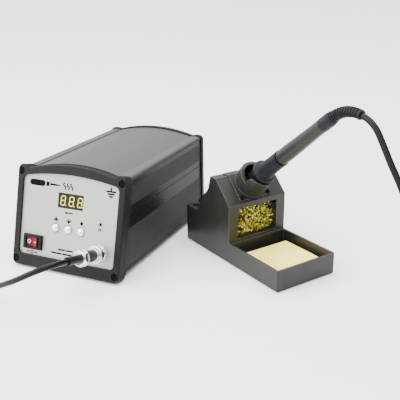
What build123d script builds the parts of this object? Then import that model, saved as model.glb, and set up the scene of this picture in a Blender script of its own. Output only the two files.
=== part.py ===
from build123d import *
import math
import os

# Soldering iron station: a control unit, an iron holder with sponge tray and brass wool,
# and the iron with its cable. Millimetres, +Z up. The origin is on the bench, under the
# middle of the control unit. The control unit's front looks along -Y.

os.makedirs("parts", exist_ok=True)

# ---------------------------------------------------------------- driving dimensions
CASE_WIDTH = 130.0          # across the two extrusions
CASE_REAR = 106.0           # where the extrusions end and the rear bezel starts
CASE_WALL = 2.2
CASE_BOTTOM = 4.0
JOINT_HEIGHT = 67.6         # the line where upper and lower extrusion meet
SHOULDER_HEIGHT = 100.2
RAIL_TOP = 104.7
RAIL_INNER = 51.5           # where the rails give way to the arched middle
ARCH_TOP = 110.7
RIB_PITCH = 1.75
RIB_DEPTH = 0.7

FACE_SLANT = 15.7           # the front leans back by this many degrees
FACE_FOOT_Y = -112.6        # where the front plane meets the bench
BEZEL_HALF = 67.4
BEZEL_DEPTH = 13.1
BEZEL_LIP = 2.6
BEZEL_LOW = 2.9
BEZEL_ARCH_TOP = 117.3
BEZEL_CORNER_TOP = 113.2
OPENING_HALF = 60.0
OPENING_LOW = 16.0
OPENING_SIDE_TOP = 101.2
OPENING_ARCH_TOP = 107.2
SCREW_X = 62.5
SCREW_LOW = 9.6
SCREW_HIGH = 105.7
BOSS_RADIUS = 6.0           # corner bosses that the bezel screws stand in
PANEL_THICK = 2.0
PANEL_TOP = -BEZEL_LIP      # the front panel's outer face, in the frame of the bezel's face
PANEL_BACK = PANEL_TOP - PANEL_THICK

REAR_BEZEL_DEPTH = 6.4
REAR_SCREW_LOW, REAR_SCREW_HIGH = 9.4, 99.5
REAR_PANEL_BACK = REAR_BEZEL_DEPTH - 4.4
REAR_PANEL_FRONT = REAR_BEZEL_DEPTH - 2.0
INLET_X, INLET_Z = 30.0, 38.0
EARTH_X, EARTH_Z = -8.0, 38.0

DISPLAY_X, DISPLAY_S = 1.25, 79.6
DISPLAY_SIZE = (31.8, 16.2)
BUTTON_X = (-15.35, 0.75, 16.85)
BUTTON_S = 49.3
BUTTON_RADIUS = 4.5
TRIMMER_X, TRIMMER_S = 39.65, 60.5
SWITCH_X, SWITCH_S = -42.2, 30.2
SWITCH_FLANGE = (24.0, 16.0)
SWITCH_BODY = (19.2, 12.9)
SWITCH_THROW = 18.0         # degrees between off and on
SWITCH_PROUD = 0.6          # the switch flange's face, in the frame of the bezel's face
SWITCH_WELL = (16.8, 11.0)
PIVOT_Z = -4.0
PIVOT_OVER = 3.3            # from the rocker's pivot up to the bottom of its shallow V
PIVOT_PIN = 1.0
SOCKET_X, SOCKET_S = 44.9, 32.0
SOCKET_RADIUS = 6.4
RING_RADIUS = 9.3           # coupling ring of the plug
RING_FRONT = 14.2           # distances along the plug count from the bezel's face
SHELL_RADIUS = 6.1
NUT_BACK, NUT_FRONT = 33.0, 41.0
BOOT_END = 60.0
CARD_FRONT = -13.0
CARD_THICK = 1.6

BOARD = (-22.0, 52.0, -78.0, 60.0)      # the main board's edges
BOARD_HEIGHT = 14.0
BOARD_POSTS = [(x, y) for x in (-16.0, 46.0) for y in (-72.0, 54.0)]
FOOT_PLACES = [(x, y) for x in (-50.0, 50.0) for y in (-88.0, 92.0)]

HOLDER_CORNER = (80.3, 28.3)   # rear left corner of the holder on the bench
HOLDER_TURN = -32.8            # the holder points to the right of the unit's front
HOLDER_LENGTH = 167.5
HOLDER_WIDTH = 77.7
HOLDER_WALL = 2.6
BODY_LOW = 1.0
TRAY_RIM = 23.8
TRAY_FLOOR = 8.0
ROOF_FRONT = 85.7           # from the rear end to the upright front wall
ROOF_EDGE_HEIGHT = 66.5
RIDGE_FRONT, RIDGE_REAR = 60.6, 50.4
RIDGE_HEIGHT = 91.2
REAR_HEIGHT = 45.0
SHELF_HEIGHT = 43.6         # the tip shelves in the two rear corners
SHELF_WIDTH = 17.0
SHELF_LENGTH = 22.5
TIP_HOLE_RADIUS = 5.0
WINDOW_HALF = 27.0
WINDOW_LOW, WINDOW_HIGH = 26.5, 61.5
HOLDER_POSTS = [(u, v) for u in (95.0, 137.0) for v in (10.0, HOLDER_WIDTH - 10.0)]

CUP_BASE = (70.3, 81.7)     # where the cup's axis leaves the sloping roof
CUP_TILT = 45.5
CUP_OUTER, CUP_INNER = 18.3, 14.4
CUP_MOUTH = (84.4, 96.0)
MOUTH_TILT = 61.0
LIP_LINE = [                # the lip's left half seen from the side, in the mouth's own frame
    (25.0, 0), (10.8, 0), (-4.3, -5.6), (-5.0, -3.5), (-5.9, 0.5), (-7.6, 3.1), (-9.8, 4.0),
    (-13.4, 3.8), (-16.4, 2.6), (-18.3, 1.2), (-19.4, 0), (-40.0, 0),
]
PLATE_SIDES = (-22.8, 20.6) # the cup's plate, across the holder from its middle
PLATE_SINK = 0.9            # how deep the plate lies in the roof
PLATE_GAP = 0.8
PLATE_LIFT = 1.1
IRON_BASE = (70.65, 81.3)
IRON_TILT = 38.7
GRIP_END = 66.0             # distances along the iron count from its base point
RELIEF_START = 150.7
RELIEF_LEAD = 3.5           # straight length before the strain relief bends
RELIEF_RADIUS = 37.5
RELIEF_TURN = 52.0

CORD_DIAMETER = 5.7
CORD_GAP = 0.3              # where the cord is divided between the bench and the iron


# ---------------------------------------------------------------- helpers
def save(name, shape):
    export_step(shape, f"parts/{name}.step")


def group(solids):
    """Separate solids kept as one node."""
    return Compound(children=[s.solid() for s in solids])


def box(x0, x1, y0, y1, z0, z1):
    """A block between two corners."""
    middle = Pos((x0 + x1) / 2, (y0 + y1) / 2, (z0 + z1) / 2)
    return middle * Box(x1 - x0, y1 - y0, z1 - z0)


def rod(radius, low, high):
    """A cylinder on the Z axis between two heights."""
    return Pos(0, 0, (low + high) / 2) * Cylinder(radius, high - low)


def tube(outer, inner, low, high):
    return rod(outer, low, high) - rod(inner, low - 1, high + 1)


def turned(points):
    """A solid of revolution about Z, from (radius, height) points."""
    outline = make_face(Polyline(*[(r, 0, h) for r, h in points], close=True))
    return revolve(outline, Axis.Z)


def slab(points, low, high):
    """A polygon in XY extruded between two heights."""
    return Pos(0, 0, low) * extrude(make_face(Polyline(*points, close=True)), high - low)


# ---------------------------------------------------------------- frames of reference
slant = math.radians(FACE_SLANT)
FACE = Plane(
    origin=(0, FACE_FOOT_Y, 0),
    x_dir=(1, 0, 0),
    z_dir=(0, -math.cos(slant), math.sin(slant)),
)   # X across, Y up the leaning front, Z straight out of it
REAR = Plane(origin=(0, CASE_REAR, 0), x_dir=(-1, 0, 0), z_dir=(0, 1, 0))
PROFILE = Plane(origin=(0, CASE_REAR, 0), x_dir=(1, 0, 0), z_dir=(0, -1, 0))
HOLDER = Location((HOLDER_CORNER[0], HOLDER_CORNER[1], 0), (0, 0, HOLDER_TURN))
MID = HOLDER_WIDTH / 2


def holder_axis(point, tilt):
    """A frame in the holder's middle plane, with Z along an axis raised by tilt degrees."""
    a = math.radians(tilt)
    plane = Plane(
        origin=(point[0], MID, point[1]),
        x_dir=(-math.sin(a), 0, math.cos(a)),
        z_dir=(math.cos(a), 0, math.sin(a)),
    )
    return HOLDER * plane.location


CUP = holder_axis(CUP_BASE, CUP_TILT)
IRON = holder_axis(IRON_BASE, IRON_TILT)


# ---------------------------------------------------------------- case extrusions
def ribs(low, high, edge):
    """Points up a right-hand wall, with V grooves cut into it."""
    count = round((high - low) / RIB_PITCH)
    step = (high - low) / count
    points = []
    for k in range(count):
        start = low + k * step
        points.append((edge, start + 0.2 * step))
        points.append((edge - RIB_DEPTH, start + 0.55 * step))
        points.append((edge, start + 0.9 * step))
    return points


def mirrored(points):
    return [(-x, z) for x, z in reversed(points)]


def case_cut():
    """The space in front of the leaning end of the extrusions."""
    return FACE * box(-90, 90, -20, 150, -BEZEL_DEPTH, 60)


def screw_bores(length):
    """Screw holes into the extrusions' corners, from the front and from the rear."""
    front = [
        FACE * Pos(x, s, 0) * rod(1.75, -BEZEL_DEPTH - length, 1)
        for x in (-SCREW_X, SCREW_X)
        for s in (SCREW_LOW, SCREW_HIGH)
    ]
    rear = [
        REAR * Pos(x, z, 0) * rod(1.75, -length, 1)
        for x in (-SCREW_X, SCREW_X)
        for z in (REAR_SCREW_LOW, REAR_SCREW_HIGH)
    ]
    return front + rear


half = CASE_WIDTH / 2
inner = half - CASE_WALL
length = 240.0              # extruded long, then cut along the leaning front


def upper_case():
    seam = JOINT_HEIGHT + 0.35
    right = [(half, seam)] + ribs(75.0, 95.3, half) + [(half, SHOULDER_HEIGHT)]
    shoulder = ThreePointArc(
        (half, SHOULDER_HEIGHT), (half - 1.3, RAIL_TOP - 1.3), (half - 4.5, RAIL_TOP)
    )
    shoulder_left = ThreePointArc(
        (-half + 4.5, RAIL_TOP), (-half + 1.3, RAIL_TOP - 1.3), (-half, SHOULDER_HEIGHT)
    )
    step = RAIL_TOP - 0.9
    arch = ThreePointArc((RAIL_INNER, step), (0, ARCH_TOP), (-RAIL_INNER, step))
    edges = [
        Polyline(*right),
        shoulder,
        Polyline((half - 4.5, RAIL_TOP), (RAIL_INNER + 0.9, RAIL_TOP), (RAIL_INNER, step)),
        arch,
        Polyline((-RAIL_INNER, step), (-RAIL_INNER - 0.9, RAIL_TOP), (-half + 4.5, RAIL_TOP)),
        shoulder_left,
        Polyline(*mirrored(right)),
        Polyline((-half, seam), (half, seam)),
    ]
    solid = extrude(make_face(edges), length)
    roof = RAIL_TOP - 4.4
    hollow_arch = ThreePointArc((RAIL_INNER, roof), (0, ARCH_TOP - 2.6), (-RAIL_INNER, roof))
    hollow = make_face([
        Polyline((-inner, seam - 1), (inner, seam - 1), (inner, 93), (RAIL_INNER + 2, roof),
                 (RAIL_INNER, roof)),
        hollow_arch,
        Polyline((-RAIL_INNER, roof), (-RAIL_INNER - 2, roof), (-inner, 93), (-inner, seam - 1)),
    ])
    solid -= Pos(0, 0, -1) * extrude(hollow, length + 2)
    solid = PROFILE * solid - case_cut()
    for bore in screw_bores(12):
        solid -= bore
    return solid


def lower_case():
    seam = JOINT_HEIGHT - 0.35
    right = [(half - 3, CASE_BOTTOM), (half, CASE_BOTTOM + 3)] + ribs(12.1, 51.9, half)
    right.append((half, seam))
    outline = Polyline(*(right + mirrored(right)), close=True)
    solid = extrude(make_face(outline), length)
    floor = CASE_BOTTOM + CASE_WALL
    corner = 15.0
    hollow = Polyline(
        (-inner + 6, floor), (inner - 6, floor), (inner - 6, corner), (inner, corner + 4),
        (inner, seam + 1), (-inner, seam + 1), (-inner, corner + 4), (-inner + 6, corner),
        close=True,
    )
    solid -= Pos(0, 0, -1) * extrude(make_face(hollow), length + 2)
    tongue = box(inner - 2.0, inner, seam - 6, seam + 4, 0, length)
    shelf = box(inner - 2.0, inner + 0.5, seam - 6, seam - 4, 0, length)
    for side in (1, -1):
        piece = tongue + shelf
        solid += piece if side == 1 else mirror(piece, Plane.YZ)
    solid = PROFILE * solid - case_cut()
    for bore in screw_bores(12):
        solid -= bore
    for x, y in FOOT_PLACES:
        solid -= Pos(x, y, 0) * rod(1.6, 0, 20)
    for x, y in BOARD_POSTS:
        solid += Pos(x, y, 0) * tube(3.5, 1.3, floor - 0.5, BOARD_HEIGHT)
    return solid


save("upper_case", upper_case())
save("lower_case", lower_case())


# ---------------------------------------------------------------- front bezel and panel
def bezel_outline(low, corner_top, arch_top, arch_end, grow):
    """The bezel's outline: raised rounded corners, and an arched top edge between them."""
    r = 6.0
    w = BEZEL_HALF + grow
    step = 57.0 + grow
    end = step - 4.2
    lo = low - grow
    top = corner_top + grow
    k = r * (1 - math.sqrt(0.5))
    edges = [
        Polyline((-w + r, lo), (w - r, lo)),
        ThreePointArc((w - r, lo), (w - k, lo + k), (w, lo + r)),
        Polyline((w, lo + r), (w, top - r)),
        ThreePointArc((w, top - r), (w - k, top - k), (w - r, top)),
        Polyline((w - r, top), (step, top), (end, arch_end + grow)),
        ThreePointArc((end, arch_end + grow), (0, arch_top + grow), (-end, arch_end + grow)),
        Polyline((-end, arch_end + grow), (-step, top), (-w + r, top)),
        ThreePointArc((-w + r, top), (-w + k, top - k), (-w, top - r)),
        Polyline((-w, top - r), (-w, lo + r)),
        ThreePointArc((-w, lo + r), (-w + k, lo + k), (-w + r, lo)),
    ]
    return make_face(edges)


def opening_outline(grow):
    """The panel opening, with rounded corners and an arched top."""
    r = 5.0 + grow * 0.5
    w = OPENING_HALF + grow
    lo = OPENING_LOW - grow
    side = OPENING_SIDE_TOP + grow * 0.5
    k = r * (1 - math.sqrt(0.5))
    edges = [
        Polyline((-w + r, lo), (w - r, lo)),
        ThreePointArc((w - r, lo), (w - k, lo + k), (w, lo + r)),
        Polyline((w, lo + r), (w, side - r)),
        ThreePointArc((w, side - r), (w - k + 0.1, side - k + 0.3), (w - r, side + 0.9)),
        ThreePointArc((w - r, side + 0.9), (0, OPENING_ARCH_TOP + grow), (-w + r, side + 0.9)),
        ThreePointArc((-w + r, side + 0.9), (-w + k - 0.1, side - k + 0.3), (-w, side - r)),
        Polyline((-w, side - r), (-w, lo + r)),
        ThreePointArc((-w, lo + r), (-w + k, lo + k), (-w + r, lo)),
    ]
    return make_face(edges)


FACE_SCREWS = [(x, s) for x in (-SCREW_X, SCREW_X) for s in (SCREW_LOW, SCREW_HIGH)]
REAR_SCREWS = [(x, z) for x in (-SCREW_X, SCREW_X) for z in (REAR_SCREW_LOW, REAR_SCREW_HIGH)]


def screw_seats(places, depth):
    """Counterbored holes through a bezel at its corners."""
    cuts = None
    for x, s in places:
        hole = Pos(x, s, 0) * (rod(1.75, -depth - 1, 1) + rod(4.1, -2.6, 1))
        cuts = hole if cuts is None else cuts + hole
    return cuts


def front_bezel():
    outline = bezel_outline(BEZEL_LOW, BEZEL_CORNER_TOP, BEZEL_ARCH_TOP, 110.5, 0)
    solid = Pos(0, 0, -BEZEL_DEPTH) * extrude(outline, BEZEL_DEPTH)
    solid = fillet(solid.faces().sort_by(Axis.Z)[-1].edges(), 1.4)
    solid -= Pos(0, 0, -BEZEL_LIP) * extrude(opening_outline(0), 5)
    pocket = Pos(0, 0, -BEZEL_DEPTH - 1) * extrude(opening_outline(1.8), BEZEL_DEPTH + 1 - BEZEL_LIP)
    for x, s in FACE_SCREWS:
        pocket -= Pos(x, s, 0) * rod(BOSS_RADIUS, -BEZEL_DEPTH - 2, 0)
    solid -= pocket
    return FACE * (solid - screw_seats(FACE_SCREWS, BEZEL_DEPTH))


def front_panel():
    solid = Pos(0, 0, PANEL_BACK) * extrude(opening_outline(1.7), PANEL_THICK)
    for x, s in FACE_SCREWS:
        solid -= Pos(x, s, 0) * rod(BOSS_RADIUS + 0.1, -10, 5)
    w, h = DISPLAY_SIZE
    solid -= Pos(DISPLAY_X, DISPLAY_S, 0) * Box(w, h, 20)
    for x in BUTTON_X:
        solid -= Pos(x, BUTTON_S, 0) * rod(BUTTON_RADIUS + 0.55, -10, 5)
    solid -= Pos(TRIMMER_X, TRIMMER_S, 0) * rod(1.9, -10, 5)
    solid -= Pos(SWITCH_X, SWITCH_S, 0) * Box(SWITCH_BODY[0] + 0.1, SWITCH_BODY[1] + 0.1, 20)
    solid -= Pos(SOCKET_X, SOCKET_S, 0) * rod(SOCKET_RADIUS + 0.1, -10, 5)
    return FACE * solid


def corner_screws(places, frame):
    """Cross-recessed pan-head screws standing in the bezel's counterbores."""
    solids = []
    for x, s in places:
        head = turned([(0, -2.6), (3.7, -2.6), (3.7, -1.2), (2.9, -0.5), (0, -0.35)])
        cross = Box(4.2, 0.9, 2.4) + Box(0.9, 4.2, 2.4)
        head -= Pos(0, 0, -1.0) * cross
        shank = rod(1.65, -BEZEL_DEPTH - 8, -2.6)
        solids.append(frame * Pos(x, s, 0) * (head + shank))
    return group(solids)


save("front_bezel", front_bezel())
save("front_panel", front_panel())
save("front_bezel_screws", corner_screws(FACE_SCREWS, FACE))


# ---------------------------------------------------------------- display and controls
def display_window():
    w, h = DISPLAY_SIZE
    pane = box(-w / 2 + 0.1, w / 2 - 0.1, -h / 2 + 0.1, h / 2 - 0.1, PANEL_TOP - 1.6, PANEL_TOP - 0.4)
    rim = box(-w / 2 - 1.4, w / 2 + 1.4, -h / 2 - 1.4, h / 2 + 1.4, PANEL_BACK - 0.9, PANEL_BACK)
    neck = box(-w / 2 + 0.1, w / 2 - 0.1, -h / 2 + 0.1, h / 2 - 0.1, PANEL_BACK - 0.5, PANEL_TOP - 1)
    return FACE * Pos(DISPLAY_X, DISPLAY_S, 0) * (pane + neck + rim)


def display_module():
    """Three-digit block behind the window, with its two rows of pins."""
    back = PANEL_BACK - 1.0
    body = box(-15.5, 15.5, -8, 8, back - 6.8, back)
    pins = None
    for k in range(6):
        for y in (-6.4, 6.4):
            pin = Pos(-12.5 + 5 * k, y, 0) * rod(0.3, CARD_FRONT, back - 6)
            pins = pin if pins is None else pins + pin
    return FACE * Pos(DISPLAY_X, DISPLAY_S, 0) * (body + pins)


def front_card():
    """The small board that carries the display, the key switches and the trimmer."""
    card = box(-24, 46, 38, 92, CARD_FRONT - CARD_THICK, CARD_FRONT)
    card -= Pos(40, 42, 0) * rod(1.6, -20, 0)
    return FACE * card


def button_cap():
    """A domed key cap with a collar behind the panel."""
    collar = rod(BUTTON_RADIUS + 1.3, PANEL_BACK - 2.6, PANEL_BACK - 1.4)
    cap = turned([
        (0, PANEL_BACK - 2.0), (BUTTON_RADIUS, PANEL_BACK - 2.0), (BUTTON_RADIUS, PANEL_TOP + 0.4),
        (BUTTON_RADIUS - 0.2, PANEL_TOP + 1.0), (BUTTON_RADIUS - 0.8, PANEL_TOP + 1.8),
        (BUTTON_RADIUS - 1.8, PANEL_TOP + 2.5), (BUTTON_RADIUS - 3.2, PANEL_TOP + 2.95), (0, PANEL_TOP + 3.1),
    ])
    stem = rod(1.2, -8.2, PANEL_BACK - 2.0)
    return cap + collar + stem


def key_switch():
    """A square key switch behind a cap's stem."""
    return box(-3, 3, -3, 3, CARD_FRONT, -9.4)


for name, x in zip(("button_up", "button_down", "button_set"), BUTTON_X):
    save(name, FACE * Pos(x, BUTTON_S, 0) * button_cap())
save("key_switches", group([FACE * Pos(x, BUTTON_S, 0) * key_switch() for x in BUTTON_X]))
save("display_window", display_window())
save("display_module", display_module())
save("front_card", front_card())

trimmer = box(-4.5, 4.5, -4.5, 4.5, CARD_FRONT, -8.5) - rod(1.55, -11.0, -8)
save("calibration_trimmer", FACE * Pos(TRIMMER_X, TRIMMER_S, 0) * trimmer)
trimmer_screw = rod(1.5, -10.9, -6.4) - Pos(0, 0, -6.4) * Box(2.2, 0.5, 1.4)
save("trimmer_screw", FACE * Pos(TRIMMER_X, TRIMMER_S, 0) * trimmer_screw)


# ---------------------------------------------------------------- power switch
def switch_frame():
    """Snap-in frame around a deep well, with the pin that the rocker tilts on."""
    w, h = SWITCH_FLANGE
    flange = box(-w / 2, w / 2, -h / 2, h / 2, PANEL_TOP, SWITCH_PROUD)
    flange = fillet(flange.faces().sort_by(Axis.Z)[-1].edges(), 0.8)
    bw, bh = SWITCH_BODY
    body = box(-bw / 2, bw / 2, -bh / 2, bh / 2, PANEL_TOP - 17, PANEL_TOP)
    ww, wh = SWITCH_WELL
    well = box(-ww / 2, ww / 2, -wh / 2, wh / 2, PANEL_TOP - 8.5, PANEL_TOP + 8)
    pin = Pos(0, 0, PIVOT_Z) * Rot(90, 0, 0) * Cylinder(PIVOT_PIN, wh + 0.4)
    return flange + body - well + pin


def rocker():
    """The tilting key. Its two faces meet in a shallow V over the pivot pin."""
    lift = 15.0 * math.tan(math.radians(SWITCH_THROW / 2)) / 2
    top = PIVOT_OVER
    side = [(-7.4, top + lift), (0, top), (7.4, top + lift), (6.4, -2.5), (2.5, -4.2), (-2.5, -4.2),
            (-6.4, -2.5)]
    key = extrude(make_face(Polyline(*[(x, 0, z) for x, z in side], close=True)), 5.2, both=True)
    key = fillet(key.edges().filter_by(Axis.Y), 0.35)
    return key - Rot(90, 0, 0) * Cylinder(PIVOT_PIN + 0.06, 30)


OFF_TILT = Rot(0, -SWITCH_THROW / 2, 0)
save("switch_frame", FACE * Pos(SWITCH_X, SWITCH_S, 0) * switch_frame())
save("power_rocker", FACE * Pos(SWITCH_X, SWITCH_S, PIVOT_Z) * OFF_TILT * rocker())
blades = [
    FACE * Pos(SWITCH_X + x, SWITCH_S, 0) * box(-0.4, 0.4, -3.1, 3.1, PANEL_TOP - 25, PANEL_TOP - 17)
    for x in (-7.0, 0.0, 7.0)
]
save("switch_terminals", group(blades))


# ---------------------------------------------------------------- iron socket and plug
def at_socket(shape):
    return FACE * Pos(SOCKET_X, SOCKET_S, 0) * shape


def socket():
    """Threaded panel socket: a stepped barrel through the panel."""
    return turned([
        (0, PANEL_BACK - 8), (SOCKET_RADIUS, PANEL_BACK - 8), (SOCKET_RADIUS, 2.4), (6.0, 3.0), (0, 3.0),
    ])


def plug_ring():
    """The coupling ring that screws the plug to the socket, with a row of grip holes."""
    ring = turned([
        (6.5, 3.4), (8.5, 3.4), (9.0, 3.9), (9.0, 7.0), (8.6, 7.4), (8.6, 7.9), (9.0, 8.3),
        (RING_RADIUS, 8.8), (RING_RADIUS, RING_FRONT - 0.7), (RING_RADIUS - 0.8, RING_FRONT),
        (7.3, RING_FRONT), (7.0, RING_FRONT - 0.3), (7.0, RING_FRONT - 2.4), (6.75, RING_FRONT - 2.4),
        (6.75, RING_FRONT + 2.2), (6.5, RING_FRONT + 2.4), (6.15, RING_FRONT + 2.4),
        (6.15, 10.0), (6.5, 10.0),
    ])
    for k in range(12):
        ring -= Rot(0, 0, 30 * k) * Pos(9.4, 0, 5.6) * Cylinder(0.9, 2.2)
    return ring


def plug_shell():
    """The knurled body of the plug."""
    shell = turned([
        (0, 3.1), (6.1, 3.1), (SHELL_RADIUS, NUT_BACK - 0.6), (5.5, NUT_BACK - 0.1), (0, NUT_BACK - 0.1),
    ])
    for k in range(24):
        shell -= Rot(0, 0, 15 * k) * Pos(6.3, 0, 25.0) * Box(0.6, 0.6, 11.0)
    return shell


def plug_nut():
    """The six-sided clamp nut that holds the boot."""
    nut = turned([
        (4.4, NUT_BACK), (7.0, NUT_BACK), (8.6, NUT_BACK + 1.2), (8.6, NUT_FRONT - 2.2),
        (6.6, NUT_FRONT), (4.4, NUT_FRONT),
    ])
    for k in range(6):
        nut -= Rot(0, 0, 60 * k + 12) * Pos(12.6, 0, NUT_BACK + 4.8) * Box(10.0, 12.0, 6.4)
    return nut


def plug_boot():
    """The rubber sleeve on the plug, with a lip at its end."""
    return turned([
        (0, NUT_BACK), (4.3, NUT_BACK), (4.3, NUT_FRONT + 0.4), (4.15, 48.0), (3.95, 57.6),
        (4.4, 57.9), (4.4, 59.4), (4.0, BOOT_END), (0, BOOT_END),
    ])


nut_behind = tube(11.0, SOCKET_RADIUS + 0.05, PANEL_BACK - 2.8, PANEL_BACK)
for k in range(6):
    nut_behind -= Rot(0, 0, 60 * k) * Pos(13.0, 0, PANEL_BACK - 1.4) * Box(6.0, 20, 6)
save("panel_socket", at_socket(socket()))
save("socket_nut", at_socket(nut_behind))
save("plug_ring", at_socket(plug_ring()))
save("plug_shell", at_socket(plug_shell()))
save("plug_nut", at_socket(plug_nut()))
save("plug_boot", at_socket(plug_boot()))


# ---------------------------------------------------------------- rear bezel and panel
def on_rear(shape):
    return REAR * shape


def rear_bezel():
    outline = bezel_outline(BEZEL_LOW + 0.3, 106.6, 113.0, 105.6, -0.6)
    solid = extrude(outline, REAR_BEZEL_DEPTH)
    solid = chamfer(solid.faces().sort_by(Axis.Z)[-1].edges(), 0.7)
    hole = Pos(0, 0, REAR_BEZEL_DEPTH - 2) * extrude(make_face(rear_panel_edge(0)), 5)
    pocket = Pos(0, 0, -1) * extrude(make_face(rear_panel_edge(1.6)), REAR_BEZEL_DEPTH - 1)
    for x, z in REAR_SCREWS:
        pocket -= Pos(x, z, 0) * rod(BOSS_RADIUS, -5, 10)
        hole -= Pos(x, z, 0) * rod(BOSS_RADIUS, -5, 10)
    solid -= hole
    solid -= pocket
    for x, z in REAR_SCREWS:
        seat = rod(1.75, -2, 8) + rod(4.1, REAR_BEZEL_DEPTH - 2.6, 8)
        solid -= Pos(x, z, 0) * seat
    return on_rear(solid)


def rear_panel_edge(grow):
    w, lo, hi = 58.5 + grow, 14.0 - grow, 97.0 + grow
    return Polyline((-w, lo), (w, lo), (w, hi - 4), (w - 4, hi), (-w + 4, hi), (-w, hi - 4), close=True)


def rear_panel():
    solid = Pos(0, 0, REAR_PANEL_BACK) * extrude(make_face(rear_panel_edge(1.5)), 2.4)
    for x, z in REAR_SCREWS:
        solid -= Pos(x, z, 0) * rod(BOSS_RADIUS + 0.1, -5, 10)
    solid -= Pos(INLET_X, INLET_Z, 0) * Box(27.2, 32.2, 20)
    for side in (-1, 1):
        solid -= Pos(INLET_X + side * 20, INLET_Z, 0) * rod(1.65, -5, 10)
    solid -= Pos(EARTH_X, EARTH_Z, 0) * rod(4.05, -5, 10)
    for row in range(3):
        for column in range(9):
            slot = Box(3.0, 9.0, 20)
            solid -= Pos(-44 + 11 * column, 66 + 12 * row - 4, 0) * slot
    return on_rear(solid)


def rear_screws():
    solids = []
    for x, z in REAR_SCREWS:
        top = REAR_BEZEL_DEPTH
        head = turned([(0, top - 2.6), (3.7, top - 2.6), (3.7, top - 1.2), (2.9, top - 0.5), (0, top - 0.35)])
        head -= Pos(0, 0, top - 1.0) * (Box(4.2, 0.9, 2.4) + Box(0.9, 4.2, 2.4))
        solids.append(on_rear(Pos(x, z, 0) * (head + rod(1.65, -8, top - 2.6))))
    return group(solids)


save("rear_bezel", rear_bezel())
save("rear_panel", rear_panel())
save("rear_bezel_screws", rear_screws())


# ---------------------------------------------------------------- mains inlet, fuse, earth
def inlet():
    """Three-pole mains inlet with a fuse drawer below its plug cavity."""
    front = REAR_PANEL_FRONT
    flange = box(-25, 25, -18.5, 18.5, front, front + 3.0)
    flange = fillet(flange.edges().filter_by(Axis.Z), 4.0)
    body = box(-13.5, 13.5, -16, 16, front - 24, front)
    solid = flange + body
    cavity = slab([(-12.1, -4), (12.1, -4), (12.1, 7.5), (6.5, 13.4), (-6.5, 13.4), (-12.1, 7.5)],
                  front - 15, front + 5)
    solid -= cavity
    solid -= box(-11.0, 11.0, -15.2, -6.2, front - 20, front + 5)
    for side in (-1, 1):
        solid -= Pos(side * 20, 0, 0) * rod(1.65, front - 1, front + 5)
    for x, y in ((-7, 1.5), (0, 5.5), (7, 1.5)):
        solid += box(x - 1, x + 1, y - 2, y + 2, front - 16, front - 1.5)
    return solid


def fuse_drawer():
    front = REAR_PANEL_FRONT
    drawer = box(-10.9, 10.9, -15.1, -6.3, front - 19.5, front + 3.6)
    drawer -= box(-9.6, 9.6, -13.8, -5, front - 18.3, front - 1.5)
    drawer -= box(-3.0, 3.0, -8.3, -5, front + 2.0, front + 5)
    return drawer


def fuse():
    return Pos(0, -10.9, REAR_PANEL_FRONT - 9.9) * Rot(0, 90, 0) * Cylinder(2.5, 18.0)


def at_inlet(shape):
    return on_rear(Pos(INLET_X, INLET_Z, 0) * shape)


save("mains_inlet", at_inlet(inlet()))
save("fuse_drawer", at_inlet(fuse_drawer()))
save("fuse", at_inlet(fuse()))
inlet_bolts = []
for side in (-1, 1):
    bolt = rod(1.6, REAR_PANEL_BACK - 5, REAR_PANEL_FRONT + 3)
    head = turned([(0, REAR_PANEL_FRONT + 3), (2.9, REAR_PANEL_FRONT + 3), (2.4, REAR_PANEL_FRONT + 4.2),
                   (0, REAR_PANEL_FRONT + 4.6)])
    head -= Pos(0, 0, REAR_PANEL_FRONT + 4.6) * Box(4, 0.7, 1.6)
    inlet_bolts.append(at_inlet(Pos(side * 20, 0, 0) * (bolt + head)))
save("inlet_screws", group(inlet_bolts))

jack = rod(4.0, REAR_PANEL_BACK - 14, REAR_PANEL_FRONT) + rod(5.6, REAR_PANEL_FRONT, REAR_PANEL_FRONT + 3.4)
jack -= rod(2.05, REAR_PANEL_BACK - 12, REAR_PANEL_FRONT + 5)
save("earth_jack", on_rear(Pos(EARTH_X, EARTH_Z, 0) * jack))


# ---------------------------------------------------------------- inside the control unit
def main_board():
    x0, x1, y0, y1 = BOARD
    board = box(x0, x1, y0, y1, BOARD_HEIGHT, BOARD_HEIGHT + 1.6)
    for x, y in BOARD_POSTS:
        board -= Pos(x, y, 0) * rod(1.6, 0, 30)
    return board


def board_screw(x, y):
    head = rod(2.8, BOARD_HEIGHT + 1.6, BOARD_HEIGHT + 3.6)
    return Pos(x, y, 0) * (head + rod(1.25, BOARD_HEIGHT - 6, BOARD_HEIGHT + 1.6))


def transformer_core():
    """Laminated core: an outer frame with two windows around its middle leg."""
    core = box(-54, -24, -30, 40, CASE_BOTTOM + CASE_WALL, 62)
    for y0, y1 in ((-19, -4), (14, 29)):
        core -= box(-60, -20, y0, y1, 17, 51)
    return core


def transformer_coil():
    coil = box(-57, -21, -18.5, 28.5, 17.3, 50.7)
    coil -= box(-54.3, -23.7, -4, 14, 10, 60)
    return coil


def heat_sink():
    sink = box(24, 50, -50, 10, BOARD_HEIGHT + 1.6, BOARD_HEIGHT + 5.6)
    for k in range(6):
        x = 24 + 4.6 * k
        sink += box(x, x + 2.2, -50, 10, BOARD_HEIGHT + 5, BOARD_HEIGHT + 32)
    return sink


def standing_cans():
    cans = [((-8, -40), 8, 26), ((-8, -16), 8, 26), ((10, -60), 5, 14), ((8, 20), 6.5, 20)]
    return group([Pos(x, y, 0) * rod(r, BOARD_HEIGHT + 1.6, BOARD_HEIGHT + 1.6 + h) for (x, y), r, h in cans])


save("main_board", main_board())
save("board_screws", group([board_screw(x, y) for x, y in BOARD_POSTS]))
save("transformer_core", transformer_core())
save("transformer_coil", transformer_coil())
save("heat_sink", heat_sink())
save("capacitors", standing_cans())

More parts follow.
